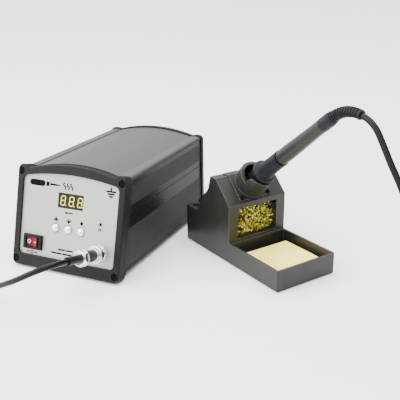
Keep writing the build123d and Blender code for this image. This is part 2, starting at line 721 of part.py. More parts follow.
foot = turned([(1.7, 0), (5.5, 0), (6.5, 0.8), (7.0, 4.0), (1.7, 4.0)])
foot -= rod(3.2, -1, 2.0)
save("unit_feet", group([Pos(x, y, 0) * foot for x, y in FOOT_PLACES]))
foot_screw = rod(3.0, 0.4, 2.0) + rod(1.55, 2.0, 9.0)
save("foot_screws", group([Pos(x, y, 0) * foot_screw for x, y in FOOT_PLACES]))


# ---------------------------------------------------------------- holder casting
def side_slab(points, low, high):
    """A polygon in the holder's length-height plane, extruded across its width."""
    face = make_face(Polyline(*[(u, 0, z) for u, z in points], close=True))
    solid = extrude(face, high - low)
    found = solid.bounding_box().min.Y
    return Pos(0, low - found, 0) * solid


def holder_body():
    profile = [
        (0, BODY_LOW), (0, REAR_HEIGHT), (RIDGE_REAR, RIDGE_HEIGHT), (RIDGE_FRONT, RIDGE_HEIGHT),
        (ROOF_FRONT, ROOF_EDGE_HEIGHT), (ROOF_FRONT, TRAY_RIM), (HOLDER_LENGTH, TRAY_RIM),
        (HOLDER_LENGTH, BODY_LOW),
    ]
    solid = side_slab(profile, 0, HOLDER_WIDTH)
    upright = solid.edges().filter_by(Axis.Z)
    solid = fillet([e for e in upright if e.length < 30 or e.center().X < 1], 1.6)
    shelf_cut = [
        (-5, SHELF_HEIGHT), (SHELF_LENGTH, SHELF_HEIGHT), (46, 76), (RIDGE_REAR, RIDGE_HEIGHT),
        (RIDGE_REAR - 8, RIDGE_HEIGHT + 10), (-5, RIDGE_HEIGHT + 10),
    ]
    solid -= side_slab(shelf_cut, -5, SHELF_WIDTH)
    solid -= side_slab(shelf_cut, HOLDER_WIDTH - SHELF_WIDTH, HOLDER_WIDTH + 5)

    t = HOLDER_WALL
    hollow = [
        (t, -1), (t, SHELF_HEIGHT - 3), (SHELF_LENGTH + 2, SHELF_HEIGHT - 3), (45.5, 70),
        (52.5, RIDGE_HEIGHT - 3), (59.5, RIDGE_HEIGHT - 3), (ROOF_FRONT - t, ROOF_EDGE_HEIGHT - 1.2),
        (ROOF_FRONT - t, -1),
    ]
    solid -= side_slab(hollow, t, HOLDER_WIDTH - t)
    solid -= side_slab([(t, -1), (t, TRAY_FLOOR - 2.4), (HOLDER_LENGTH - t, TRAY_FLOOR - 2.4),
                        (HOLDER_LENGTH - t, -1)], t, HOLDER_WIDTH - t)
    solid -= box(ROOF_FRONT + 2.4, HOLDER_LENGTH - 2.4, 2.4, HOLDER_WIDTH - 2.4, TRAY_FLOOR, 60)
    solid -= box(ROOF_FRONT - 10, ROOF_FRONT + 1, MID - WINDOW_HALF, MID + WINDOW_HALF,
                 WINDOW_LOW, WINDOW_HIGH)
    for v in (8.5, HOLDER_WIDTH - 8.5):
        solid -= Pos(9.0, v, 0) * rod(TIP_HOLE_RADIUS, 20, 60)
    for u, v in HOLDER_POSTS:
        solid += Pos(u, v, 0) * rod(3.6, 3.0, TRAY_FLOOR)
        solid -= Pos(u, v, 0) * rod(1.3, 0, TRAY_FLOOR - 2)
    solid = HOLDER * solid
    solid -= HOLDER * roof_plate_region(PLATE_GAP, 4.0)
    solid -= CUP * rod(CUP_INNER - 1.5, -30, 20)
    return solid


def roof_plate_region(grow, lift):
    """The slab that follows the ridge and the sloping roof, let into both."""
    slope = (RIDGE_HEIGHT - ROOF_EDGE_HEIGHT) / (ROOF_FRONT - RIDGE_FRONT)
    low = ROOF_FRONT - 1.9 + 0.7 * grow
    low_z = ROOF_EDGE_HEIGHT + slope * (ROOF_FRONT - low)
    rear = RIDGE_REAR + 1.6 - grow
    sink = PLATE_SINK
    points = [
        (rear, RIDGE_HEIGHT - sink), (rear, RIDGE_HEIGHT + lift),
        (RIDGE_FRONT + 0.4 * lift, RIDGE_HEIGHT + lift),
        (low + 0.7 * lift, low_z + 0.7 * lift), (low - 0.7 * sink, low_z - 0.7 * sink),
        (RIDGE_FRONT - 0.4 * sink, RIDGE_HEIGHT - sink),
    ]
    return side_slab(points, MID + PLATE_SIDES[0] - grow, MID + PLATE_SIDES[1] + grow)


def iron_cup():
    """Cup for the iron, cast with the plate that screws it to the roof."""
    body = CUP * rod(CUP_OUTER, -12, 60)
    mouth = holder_axis(CUP_MOUTH, MOUTH_TILT)
    body -= mouth * box(-60, 60, -60, 0.01, 0, 60)
    lip = [(x, 0, z) for x, z in LIP_LINE + [(-40.0, 60.0), (25.0, 60.0)]]
    left_cut = extrude(make_face(Polyline(*lip, close=True)), 60)
    body -= mouth * Pos(0, -left_cut.bounding_box().min.Y, 0) * left_cut
    roof = [
        (0, 0), (0, RIDGE_HEIGHT), (RIDGE_FRONT, RIDGE_HEIGHT), (ROOF_FRONT, ROOF_EDGE_HEIGHT),
        (ROOF_FRONT + 40, ROOF_EDGE_HEIGHT - 39.4), (ROOF_FRONT + 40, 0),
    ]
    body -= HOLDER * side_slab(roof, -5, HOLDER_WIDTH + 5)
    body += HOLDER * roof_plate_region(0, PLATE_LIFT)
    body -= CUP * rod(CUP_INNER, -40, 60)
    body -= IRON * rod(11.6, -40, 30)
    body -= IRON * rod(13.7, 24, 200)
    for place in cup_screw_places():
        body -= place * rod(1.75, -10, 10)
    return body


def cup_screw_places():
    """Frames on the roof slope, in the plate's two lower corners and on the ridge."""
    slope_len = math.hypot(ROOF_FRONT - RIDGE_FRONT, RIDGE_HEIGHT - ROOF_EDGE_HEIGHT)
    up = 6.2 / slope_len
    u = ROOF_FRONT + (RIDGE_FRONT - ROOF_FRONT) * up
    z = ROOF_EDGE_HEIGHT + (RIDGE_HEIGHT - ROOF_EDGE_HEIGHT) * up
    normal = (RIDGE_HEIGHT - ROOF_EDGE_HEIGHT, 0, ROOF_FRONT - RIDGE_FRONT)
    places = []
    for side in (-19.1, 16.4):
        plane = Plane(origin=(u, MID + side, z), x_dir=(0, 1, 0), z_dir=normal)
        places.append(HOLDER * plane.location)
    return places


def cup_screw():
    head = turned([(0, 1.15), (2.6, 1.15), (2.6, 1.95), (1.8, 2.65), (0, 2.85)])
    head -= Pos(0, 0, 2.65) * (Box(2.8, 0.6, 1.4) + Box(0.6, 2.8, 1.4))
    return head + rod(1.6, -5, 1.15)


body = holder_body()
for place in cup_screw_places():
    body -= place * rod(1.65, -12, 2)
save("holder_body", body)
save("iron_cup", iron_cup())
save("cup_screws", group([place * cup_screw() for place in cup_screw_places()]))


# ---------------------------------------------------------------- inside and under the holder
def wool_box():
    """Bent sheet box behind the window, open in front and at the top."""
    u0, u1 = 55.5, ROOF_FRONT - HOLDER_WALL - 0.1
    v0, v1 = MID - WINDOW_HALF - 1.2, MID + WINDOW_HALF + 1.2
    solid = box(u0, u1, v0, v1, WINDOW_LOW - 2.0, 56)
    solid -= box(u0 + 1.0, u1 + 5, v0 + 1.0, v1 - 1.0, WINDOW_LOW - 1.0, 80)
    return HOLDER * solid


def brass_wool():
    u0, u1 = 57.0, ROOF_FRONT - 1.0
    v0, v1 = MID - WINDOW_HALF + 0.6, MID + WINDOW_HALF - 0.6
    z0, z1 = WINDOW_LOW + 0.3, WINDOW_HIGH - 0.8
    slope = [(u0, z0), (u1, z0), (u1, z1), (68, z1), (u0, 54)]
    return HOLDER * side_slab(slope, v0, v1)


def sponge():
    block = box(99.0, 163.0, 3.6, 70.5, TRAY_FLOOR + 0.3, 16.0)
    return HOLDER * fillet(block.edges().filter_by(Axis.Z), 2.0)


def base_plate():
    plate = box(HOLDER_WALL + 0.2, HOLDER_LENGTH - HOLDER_WALL - 0.2, HOLDER_WALL + 0.2,
                HOLDER_WIDTH - HOLDER_WALL - 0.2, 1.6, 2.9)
    for u, v in HOLDER_POSTS:
        plate -= Pos(u, v, 0) * rod(1.6, 0, 5)
    return HOLDER * plate


def holder_feet():
    places = [(u, v) for u in (14.0, HOLDER_LENGTH - 14.0) for v in (14.0, HOLDER_WIDTH - 14.0)]
    return group([HOLDER * Pos(u, v, 0) * rod(6.0, 0, 1.6) for u, v in places])


def base_screws():
    return group([
        HOLDER * Pos(u, v, 0) * (rod(2.6, 0.5, 1.6) + rod(1.25, 1.6, 5.5)) for u, v in HOLDER_POSTS
    ])


save("wool_box", wool_box())
save("brass_wool", brass_wool())
save("sponge", sponge())
save("base_plate", base_plate())
save("holder_feet", holder_feet())
save("base_screws", base_screws())


# ---------------------------------------------------------------- the iron
def iron_tip():
    """Plated bit with a hollow sleeve that slips over the heater."""
    tip = turned([
        (0, -44.0), (0.5, -43.8), (2.0, -36.0), (2.6, -32.0), (3.2, -30.0), (3.2, -14.0), (2.2, -14.0),
        (2.2, -28.0), (0, -28.0),
    ])
    return tip


def heater():
    return rod(2.1, -27.5, 20.0)


def tip_shroud():
    """Steel tube around the tip's sleeve, with a collar under the nut."""
    return turned([
        (3.3, -24.0), (4.4, -24.0), (4.4, 4.5), (6.0, 4.5), (6.0, 6.5), (3.3, 6.5),
    ])


def shroud_nut():
    """Knurled ring that clamps the shroud to the nose."""
    nut = turned([(4.5, 1.5), (7.6, 1.5), (8.4, 2.3), (8.4, 9.3), (6.1, 9.3), (6.1, 4.4), (4.5, 4.4)])
    for k in range(20):
        nut -= Rot(0, 0, 18 * k) * Pos(8.6, 0, 5.4) * Cylinder(0.45, 5.6)
    return nut


def iron_nose():
    """Ribbed heat-resistant nose between the shroud nut and the grip's flange."""
    nose = turned([
        (2.2, 6.7), (5.9, 6.7), (5.9, 9.5), (8.7, 9.5), (10.2, 26.0), (12.4, 29.3), (12.4, 29.8), (8.0, 29.8),
        (8.0, 36.0), (2.2, 36.0),
    ])
    for k in range(18):
        nose -= Rot(0, 0, 20 * k) * Pos(10.75, 0, 17.6) * Rot(0, 5.2, 0) * Box(3.6, 1.4, 13.6)
    return nose


def iron_grip():
    """Soft grip with a flange that stops the fingers, and the iron, at the cup."""
    return turned([
        (8.05, 29.9), (12.4, 29.9), (13.1, 30.6), (13.1, 32.4), (12.4, 33.2), (10.0, 34.4), (9.7, 36.0),
        (9.0, 46.0), (8.75, 58.0), (8.6, GRIP_END), (7.0, GRIP_END), (7.0, 44.0), (8.05, 44.0),
    ])


def handle_body():
    return turned([
        (0, 44.2), (6.95, 44.2), (6.95, 67.7), (8.0, 67.7), (8.1, 70.0), (8.1, 82.0), (7.6, 100.0),
        (7.1, 115.0), (6.8, 126.0), (6.75, 138.2), (5.2, 138.2), (5.2, 141.0), (0, 141.0),
    ])


def rear_cap():
    return turned([
        (5.25, 138.5), (6.75, 138.5), (6.95, 138.8), (6.9, 150.0), (6.5, 150.6), (2.9, 150.6), (2.9, 141.2),
        (5.25, 141.2),
    ])


def relief_frame(turn):
    """A frame on the strain relief's centre line, after the arc has turned this far."""
    a = math.radians(turn)
    x = -RELIEF_RADIUS * (1 - math.cos(a))
    z = RELIEF_START + RELIEF_LEAD + RELIEF_RADIUS * math.sin(a)
    return Pos(x, 0, z) * Rot(0, -turn, 0)


def strain_relief():
    """Ribbed tapered sleeve, bent downwards by the weight of its cable."""
    solid = turned([
        (0, RELIEF_START), (6.4, RELIEF_START), (6.5, RELIEF_START + 0.3), (6.4, RELIEF_START + 2.8),
        (5.7, RELIEF_START + RELIEF_LEAD), (0, RELIEF_START + RELIEF_LEAD),
    ])
    ribs_made = 12
    step = RELIEF_TURN / ribs_made
    arc_step = math.radians(step) * RELIEF_RADIUS
    for k in range(ribs_made):
        core = 4.7 - 1.0 * k / ribs_made
        rib = 5.6 - 1.1 * k / ribs_made
        middle = relief_frame(step * (k + 0.5))
        solid += middle * rod(core, -0.62 * arc_step, 0.62 * arc_step)
        solid += middle * rod(rib, -0.3 * arc_step, 0.3 * arc_step)
    end = relief_frame(RELIEF_TURN)
    solid += end * turned([(0, -2.0), (4.6, -1.8), (4.7, 0), (4.2, 0.8), (0, 0.8)])
    return solid


iron_parts = {
    "iron_tip": iron_tip(),
    "heater": heater(),
    "tip_shroud": tip_shroud(),
    "shroud_nut": shroud_nut(),
    "iron_nose": iron_nose(),
    "iron_grip": iron_grip(),
    "grip_ring": turned([(7.0, GRIP_END + 0.1), (8.7, GRIP_END + 0.1), (8.9, GRIP_END + 0.8),
                         (8.4, GRIP_END + 1.6), (7.0, GRIP_END + 1.6)]),
    "handle_body": handle_body(),
    "rear_cap": rear_cap(),
    "strain_relief": strain_relief(),
}
for name, shape in iron_parts.items():
    save(name, IRON * shape)


# ---------------------------------------------------------------- cable
# From the plug's boot the cord sags off the unit's left side, runs in one wide loop over the
# bench and climbs to the iron's strain relief. Its first and last points, and the ones next
# to them, lie on the axes of the boot and of the strain relief.
relief_end = IRON * relief_frame(RELIEF_TURN)
CORD_ROUTE = [
    at_socket(Pos(0, 0, BOOT_END)).position,
    at_socket(Pos(0, 0, BOOT_END + 12)).position,
    (38.8, -185.0, 50.6),
    (26.0, -192.5, 45.3),
    (8.0, -194.8, 35.2),
    (-13.0, -191.0, 24.6),
    (-33.0, -188.5, 13.6),
    (-52.0, -197.0, 5.2),
    (-62.0, -219.0, 2.9),
    (-62.5, -253.0, 2.9),
    (-48.0, -288.0, 2.9),
    (-14.0, -310.0, 2.9),
    (31.0, -318.0, 2.9),
    (82.0, -316.0, 2.9),
    (134.0, -309.0, 2.9),
    (188.0, -295.0, 2.9),
    (243.0, -288.0, 2.9),
    (292.0, -267.0, 2.9),
    (331.0, -239.0, 2.9),
    (357.0, -206.0, 2.9),
    (365.0, -171.0, 6.2),
    (364.0, -143.0, 26.0),
    (357.0, -120.5, 56.0),
    (345.5, -101.5, 93.0),
    (333.16, -88.44, 128.4),
    (319.6, -79.7, 149.1),
    (310.6, -73.9, 165.0),
    (304.2, -69.8, 175.9),
    (relief_end * Pos(0, 0, 8.8)).position,
    (relief_end * Pos(0, 0, 0.8)).position,
]
CORD_DIVIDE = 22            # the cord is divided in the run that follows this point


def arc_radius(before, corner, after):
    """The largest arc that the two runs beside a corner leave room for."""
    shorter = min((corner - before).length, (after - corner).length)
    turn = (corner - before).get_angle(after - corner)
    return 0.45 * shorter / math.tan(math.radians(turn / 2))


def cord_tube(points, radii):
    """A round cord along straight runs that tangent arcs join."""
    path = FilletPolyline(*points, radius=radii)
    section = Plane(origin=path @ 0, z_dir=path % 0) * Circle(CORD_DIAMETER / 2)
    solid = sweep(section, path=path)
    ideal = section.area * path.length
    print(f"cord stretch {path.length:.1f} long, volume {solid.volume:.0f} of {ideal:.0f}")
    return solid


route = [Vector(*point) for point in CORD_ROUTE]
radii = [arc_radius(*route[k - 1:k + 2]) for k in range(1, len(route) - 1)]
print("cord radii", [round(radius, 1) for radius in radii], "smallest", round(min(radii), 1),
      "diameters", round(min(radii) / CORD_DIAMETER, 1))
low, high = route[CORD_DIVIDE], route[CORD_DIVIDE + 1]
middle = (low + high) / 2
half_gap = (high - low).normalized() * (CORD_GAP / 2)
bench_points = route[:CORD_DIVIDE + 1] + [middle - half_gap]
drop_points = [middle + half_gap] + route[CORD_DIVIDE + 1:]
save("cord_bench_run", cord_tube(bench_points, radii[:CORD_DIVIDE]))
save("cord_iron_drop", cord_tube(drop_points, radii[CORD_DIVIDE:]))
ends = {"plug": route[0], "plug lead": route[1], "relief lead": route[-2], "relief": route[-1]}
for name, point in ends.items():
    print(f"{name} at {point.X:.2f}, {point.Y:.2f}, {point.Z:.2f}")
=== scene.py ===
import math
import random

import bmesh
import bpy
from mathutils import Matrix, Vector, noise


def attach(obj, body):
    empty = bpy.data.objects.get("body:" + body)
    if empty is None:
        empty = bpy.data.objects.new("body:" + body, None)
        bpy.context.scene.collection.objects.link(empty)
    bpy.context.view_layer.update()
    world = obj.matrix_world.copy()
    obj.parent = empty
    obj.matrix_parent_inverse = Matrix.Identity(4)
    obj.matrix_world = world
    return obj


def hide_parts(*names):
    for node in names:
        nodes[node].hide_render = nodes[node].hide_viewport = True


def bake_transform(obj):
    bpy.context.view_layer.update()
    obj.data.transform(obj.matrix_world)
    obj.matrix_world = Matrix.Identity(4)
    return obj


# The looks of a soldering iron station: a control unit with a leaning front, a holder with
# brass wool and a sponge tray, and the iron on its cord. Pieces are in metres, in the packed
# model's frame; the lengths named here are in millimetres where on_face or in_holder takes them.

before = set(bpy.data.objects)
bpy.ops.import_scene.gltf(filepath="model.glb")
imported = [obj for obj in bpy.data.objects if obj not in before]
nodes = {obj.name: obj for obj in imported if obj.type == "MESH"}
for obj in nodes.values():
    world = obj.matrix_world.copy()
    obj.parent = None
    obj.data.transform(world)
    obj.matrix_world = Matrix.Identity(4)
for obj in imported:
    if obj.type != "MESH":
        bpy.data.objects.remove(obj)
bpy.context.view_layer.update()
scene = bpy.context.scene
MM = 0.001

# ---------------------------------------------------------------- places that the model gives
FACE_SLANT = math.radians(15.7)
FACE_FOOT_Y = -112.6        # millimetres, where the front plane meets the bench
PANEL_TOP = -2.6            # the panel's outer face, behind the bezel's face
DISPLAY_X, DISPLAY_S = 1.25, 79.6
BUTTON_X = (-15.35, 0.75, 16.85)
BUTTON_S = 49.3
SWITCH_X, SWITCH_S = -42.2, 30.2
HOLDER_CORNER = (80.3, 28.3)
HOLDER_TURN = math.radians(-32.8)
HOLDER_MIDDLE = 38.85       # half of the holder's width

face_across = Vector((1, 0, 0))
face_up = Vector((0, math.sin(FACE_SLANT), math.cos(FACE_SLANT)))
face_out = Vector((0, -math.cos(FACE_SLANT), math.sin(FACE_SLANT)))


def on_face(x, s, n=PANEL_TOP):
    """A point of the leaning front, from millimetres across, up and out of it."""
    return (Vector((0, FACE_FOOT_Y, 0)) + face_across * x + face_up * s + face_out * n) * MM


def in_holder(u, v, z):
    """A point of the holder, from millimetres along, across and up."""
    turned = Matrix.Rotation(HOLDER_TURN, 3, "Z") @ Vector((u, v, z))
    return (turned + Vector((*HOLDER_CORNER, 0))) * MM


# ---------------------------------------------------------------- camera
CAMERA_PLACE = (0.37334, -0.58956, 0.302)
CAMERA_YAW, CAMERA_PITCH, CAMERA_ROLL = (math.radians(a) for a in (-24.02, -20.36, -0.72))
CAMERA_LENS = 55.61
SENSOR_WIDTH = 36.0


def make_camera():
    """A level camera turned by its yaw, tipped by its pitch and leaned by its roll."""
    level = math.cos(CAMERA_PITCH)
    forward = Vector((math.sin(CAMERA_YAW) * level, math.cos(CAMERA_YAW) * level,
                      math.sin(CAMERA_PITCH)))
    side = Vector((math.cos(CAMERA_YAW), -math.sin(CAMERA_YAW), 0))
    lift = side.cross(forward)
    right = math.cos(CAMERA_ROLL) * side + math.sin(CAMERA_ROLL) * lift
    up = math.cos(CAMERA_ROLL) * lift - math.sin(CAMERA_ROLL) * side
    data = bpy.data.cameras.new("camera")
    data.lens = CAMERA_LENS
    data.sensor_width = SENSOR_WIDTH
    camera = bpy.data.objects.new("camera", data)
    scene.collection.objects.link(camera)
    place = Matrix((right, up, -forward)).transposed().to_4x4()
    place.translation = CAMERA_PLACE
    camera.matrix_world = place
    scene.camera = camera


make_camera()


# ---------------------------------------------------------------- mesh helpers
def add_piece(name, mesh, material, body, smooth=True):
    """Turns a bmesh into a piece of one material that rides on a body."""
    bmesh.ops.recalc_face_normals(mesh, faces=mesh.faces[:])
    data = bpy.data.meshes.new(name)
    mesh.to_mesh(data)
    mesh.free()
    data.materials.append(material)
    for polygon in data.polygons:
        polygon.use_smooth = smooth
    piece = bpy.data.objects.new(name, data)
    scene.collection.objects.link(piece)
    if body:
        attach(piece, body)
    return piece


def add_tube(mesh, path, radius, sides):
    """A round tube along a path, with no twist between its rings, and capped ends."""
    rings = []
    last = len(path) - 1
    normal = None
    for k, point in enumerate(path):
        along = (path[min(k + 1, last)] - path[max(k - 1, 0)]).normalized()
        if normal is None:
            normal = along.orthogonal().normalized()
        normal = (normal - along * normal.dot(along)).normalized()
        other = along.cross(normal)
        ring = []
        for j in range(sides):
            angle = 2 * math.pi * j / sides
            out = normal * math.cos(angle) + other * math.sin(angle)
            ring.append(mesh.verts.new(point + out * radius))
        rings.append(ring)
    for a, b in zip(rings, rings[1:]):
        for j in range(sides):
            mesh.faces.new((a[j], a[(j + 1) % sides], b[(j + 1) % sides], b[j]))
    mesh.faces.new(rings[0][::-1])
    mesh.faces.new(rings[-1])


# ---------------------------------------------------------------- materials
class Look:
    """A material under construction, with short calls for the nodes that it uses."""

    def __init__(self, name, **shader):
        self.material = bpy.data.materials.new(name)
        self.material.use_nodes = True
        self.tree = self.material.node_tree
        self.shader = self.tree.nodes["Principled BSDF"]
        for socket, value in shader.items():
            value = (*value, 1.0) if isinstance(value, tuple) and len(value) == 3 else value
            self.shader.inputs[socket.replace("_", " ")].default_value = value

    def node(self, kind, inputs=(), **settings):
        made = self.tree.nodes.new("ShaderNode" + kind)
        for key, value in settings.items():
            setattr(made, key, value)
        for key, value in dict(inputs).items():
            socket = made.inputs[key]
            if isinstance(value, bpy.types.NodeSocket):
                self.tree.links.new(value, socket)
            else:
                socket.default_value = value
        return made

    def link(self, output, socket):
        self.tree.links.new(output, self.shader.inputs[socket])

    def coordinates(self, stretch=(1, 1, 1), turn=0.0):
        source = self.node("TexCoord").outputs["Object"]
        mapping = self.node("Mapping", {"Vector": source, "Scale": stretch, "Rotation": (0, 0, turn)})
        return mapping.outputs["Vector"]

    def noise(self, scale, detail=3.0, place=None, rough=0.55):
        inputs = {"Vector": place or self.coordinates(), "Scale": scale, "Detail": detail,
                  "Roughness": rough}
        return self.node("TexNoise", inputs).outputs[0]

    def spread(self, value, low, high, start=0.3, end=0.7):
        """A value stretched from start..end to low..high, and held there."""
        inputs = {"Value": value, "From Min": start, "From Max": end, "To Min": low, "To Max": high}
        return self.node("MapRange", inputs).outputs[0]

    def mix(self, factor, first, second):
        made = self.node("Mix", data_type="RGBA")
        for index, value in ((0, factor), (6, first), (7, second)):
            if isinstance(value, bpy.types.NodeSocket):
                self.tree.links.new(value, made.inputs[index])
            else:
                made.inputs[index].default_value = (*value, 1.0)
        return made.outputs[2]

    def bump(self, height, distance, strength=1.0, normal=None):
        inputs = {"Height": height, "Distance": distance, "Strength": strength}
        if normal is not None:
            inputs["Normal"] = normal
        return self.node("Bump", inputs).outputs[0]

    def rounded(self, radius):
        """The normal of edges that are rounded to a radius."""
        return self.node("Bevel", {"Radius": radius}, samples=6).outputs[0]

    def edges(self, rounded_normal):
        """1 along the edges and 0 on flat faces."""
        flat = self.node("NewGeometry").outputs["Normal"]
        inputs = {0: rounded_normal, 1: flat}
        dot = self.node("VectorMath", inputs, operation="DOT_PRODUCT").outputs["Value"]
        return self.spread(dot, 1.0, 0.0, 0.86, 0.995)


def plain_surface(name, colours, metallic, roughness, grain=(1500.0, 0.00004), patch=45.0,
                  stretch=(1, 1, 1), turn=0.0, edge_highlight=None, edge_radius=0.0004, **shader):
    """Most surfaces: two close tones in soft patches, a fine grain, uneven gloss, edges rounded in the
    shading, and a painted highlight along the edges where an edge colour is given.
    """
    look = Look(name, Metallic=metallic, **shader)
    place = look.coordinates(stretch, turn)
    soft = look.noise(patch, 4.0, place)
    fine = look.noise(grain[0], 2.0, place)
    colour = look.mix(look.spread(soft, 0.0, 1.0), *colours)
    normal = look.rounded(edge_radius) if edge_radius else None
    # painted highlight: a paler colour mixed in along the edges
    if edge_highlight:
        colour = look.mix(look.edges(normal), colour, edge_highlight)
    look.link(colour, "Base Color")
    look.link(look.spread(fine, *roughness), "Roughness")
    look.link(look.bump(fine, grain[1], 0.6, normal), "Normal")
    return look.material


def painted_light_aluminium_surface():
    """Drawn aluminium with fine streaks along its length, and painted light: facets that look up in the
    world get a pale lit tone, the sides a dark painted shade.
    """
    look = Look("aluminium_painted_light", Metallic=0.0, Specular_IOR_Level=0.06)
    # painted shade on the sides and painted light on the tops: one aluminium in a shaded and a lit copy
    painted_shade_sides = (0.0050, 0.0052, 0.0055), (0.0085, 0.0088, 0.0090)
    painted_light_tops = (0.056, 0.0580, 0.0560), (0.069, 0.0710, 0.0685)
    streaks = look.noise(26.0, 4.0, look.coordinates((1, 0.02, 1)))
    fine = look.noise(1100.0, 2.0, look.coordinates((1, 0.05, 1)))
    up = look.node("SeparateXYZ", {0: look.node("NewGeometry").outputs["Normal"]}).outputs["Z"]
    side = look.mix(look.spread(streaks, 0.0, 1.0), *painted_shade_sides)
    top = look.mix(look.spread(streaks, 0.0, 1.0), *painted_light_tops)
    # painted light: the tone goes from the shaded copy to the lit copy as a facet turns upwards
    look.link(look.mix(look.spread(up, 0.0, 1.0, 0.02, 0.85), side, top), "Base Color")
    look.link(look.spread(fine, 0.26, 0.36), "Roughness")
    look.link(look.bump(fine, 0.00003, 0.6), "Normal")
    return look.material


def banded_surface(name, colours, metallic, roughness, axis, spacing, height):
    """A surface with fine parallel lines: windings, laminations or brushed sheet."""
    look = Look(name, Metallic=metallic)
    inputs = {"Vector": look.coordinates(), "Scale": 0.5 / spacing, "Distortion": 0.4, "Detail": 1.0}
    bands = look.node("TexWave", inputs, wave_type="BANDS", bands_direction=axis).outputs[1]
    patches = look.noise(80.0)
    look.link(look.mix(look.spread(bands, 0.0, 1.0), *colours), "Base Color")
    look.link(look.spread(patches, *roughness), "Roughness")
    look.link(look.bump(bands, height, 0.8), "Normal")
    return look.material


def sponge_surface():
    """Cream cellulose: small and large pores, the large ones darkened with painted shade, a few burnt
    specks, soft light inside.
    """
    look = Look("sponge", Roughness=0.92, Subsurface_Weight=0.12, Subsurface_Scale=0.004)
    look.shader.inputs["Subsurface Radius"].default_value = (1.0, 0.7, 0.35)
    place = look.coordinates()
    small = look.node("TexVoronoi", {"Vector": place, "Scale": 620.0}).outputs["Distance"]
    large = look.node("TexVoronoi", {"Vector": place, "Scale": 150.0}).outputs["Distance"]
    soft = look.noise(38.0, 5.0, place)
    specks = look.spread(look.noise(210.0, 2.0, place), 0.0, 1.0, 0.66, 0.72)
    # painted shade mask: 1 in the hollows of the large pores
    pores = look.spread(large, 1.0, 0.0, 0.10, 0.26)
    tone = look.mix(look.spread(soft, 0.0, 1.0), (0.92, 0.71, 0.125), (0.98, 0.83, 0.20))
    # the large pores get painted shade; the specks are burnt stains
    for marks, share, colour in ((pores, 0.45, (0.55, 0.38, 0.14)), (specks, 0.8, (0.30, 0.17, 0.04))):
        cover = look.node("Math", {0: marks, 1: share}, operation="MULTIPLY").outputs[0]
        tone = look.mix(cover, tone, colour)
    look.link(tone, "Base Color")
    fine = look.bump(small, 0.0003, 0.5)
    look.link(look.bump(look.spread(large, 0.0, 1.0, 0.05, 0.35), 0.0008, 0.6, fine), "Normal")
    return look.material


def board_surface():
    """Green solder mask over copper tracks."""
    look = Look("circuit_board", Specular_IOR_Level=0.6)
    place = look.coordinates()
    inputs = {"Vector": place, "Scale": 60.0, "Mortar Size": 0.04, "Bias": -0.2}
    tracks = look.node("TexBrick", inputs).outputs[1]
    patch = look.noise(90.0, 3.0, place)
    green = look.mix(look.spread(patch, 0.0, 1.0), (0.012, 0.10, 0.035), (0.02, 0.15, 0.05))
    look.link(look.mix(look.spread(tracks, 0.0, 0.7, 0.4, 0.6), green, (0.06, 0.28, 0.09)), "Base Color")
    look.link(look.spread(patch, 0.3, 0.45), "Roughness")
    look.link(look.bump(tracks, 0.00004), "Normal")
    return look.material


def smoked_window():
    """Olive smoked pane with a faint haze."""
    look = Look("smoked_window", IOR=1.49, Specular_IOR_Level=0.15)
    haze = look.noise(140.0, 4.0)
    olive = look.mix(look.spread(haze, 0.0, 1.0), (0.0095, 0.0085, 0.0010), (0.0135, 0.0125, 0.0018))
    look.link(olive, "Base Color")
    look.link(look.spread(haze, 0.16, 0.26), "Roughness")
    return look.material


def lit_segment():
    """Pale yellow light of the display's segments, uneven towards the ends."""
    look = Look("lit_segment", Roughness=0.5, Emission_Strength=0.55)
    glow = look.noise(900.0, 2.0)
    tone = look.mix(look.spread(glow, 0.0, 1.0), (0.50, 0.47, 0.050), (0.62, 0.59, 0.09))
    look.link(tone, "Base Color")
    look.link(tone, "Emission Color")
    return look.material
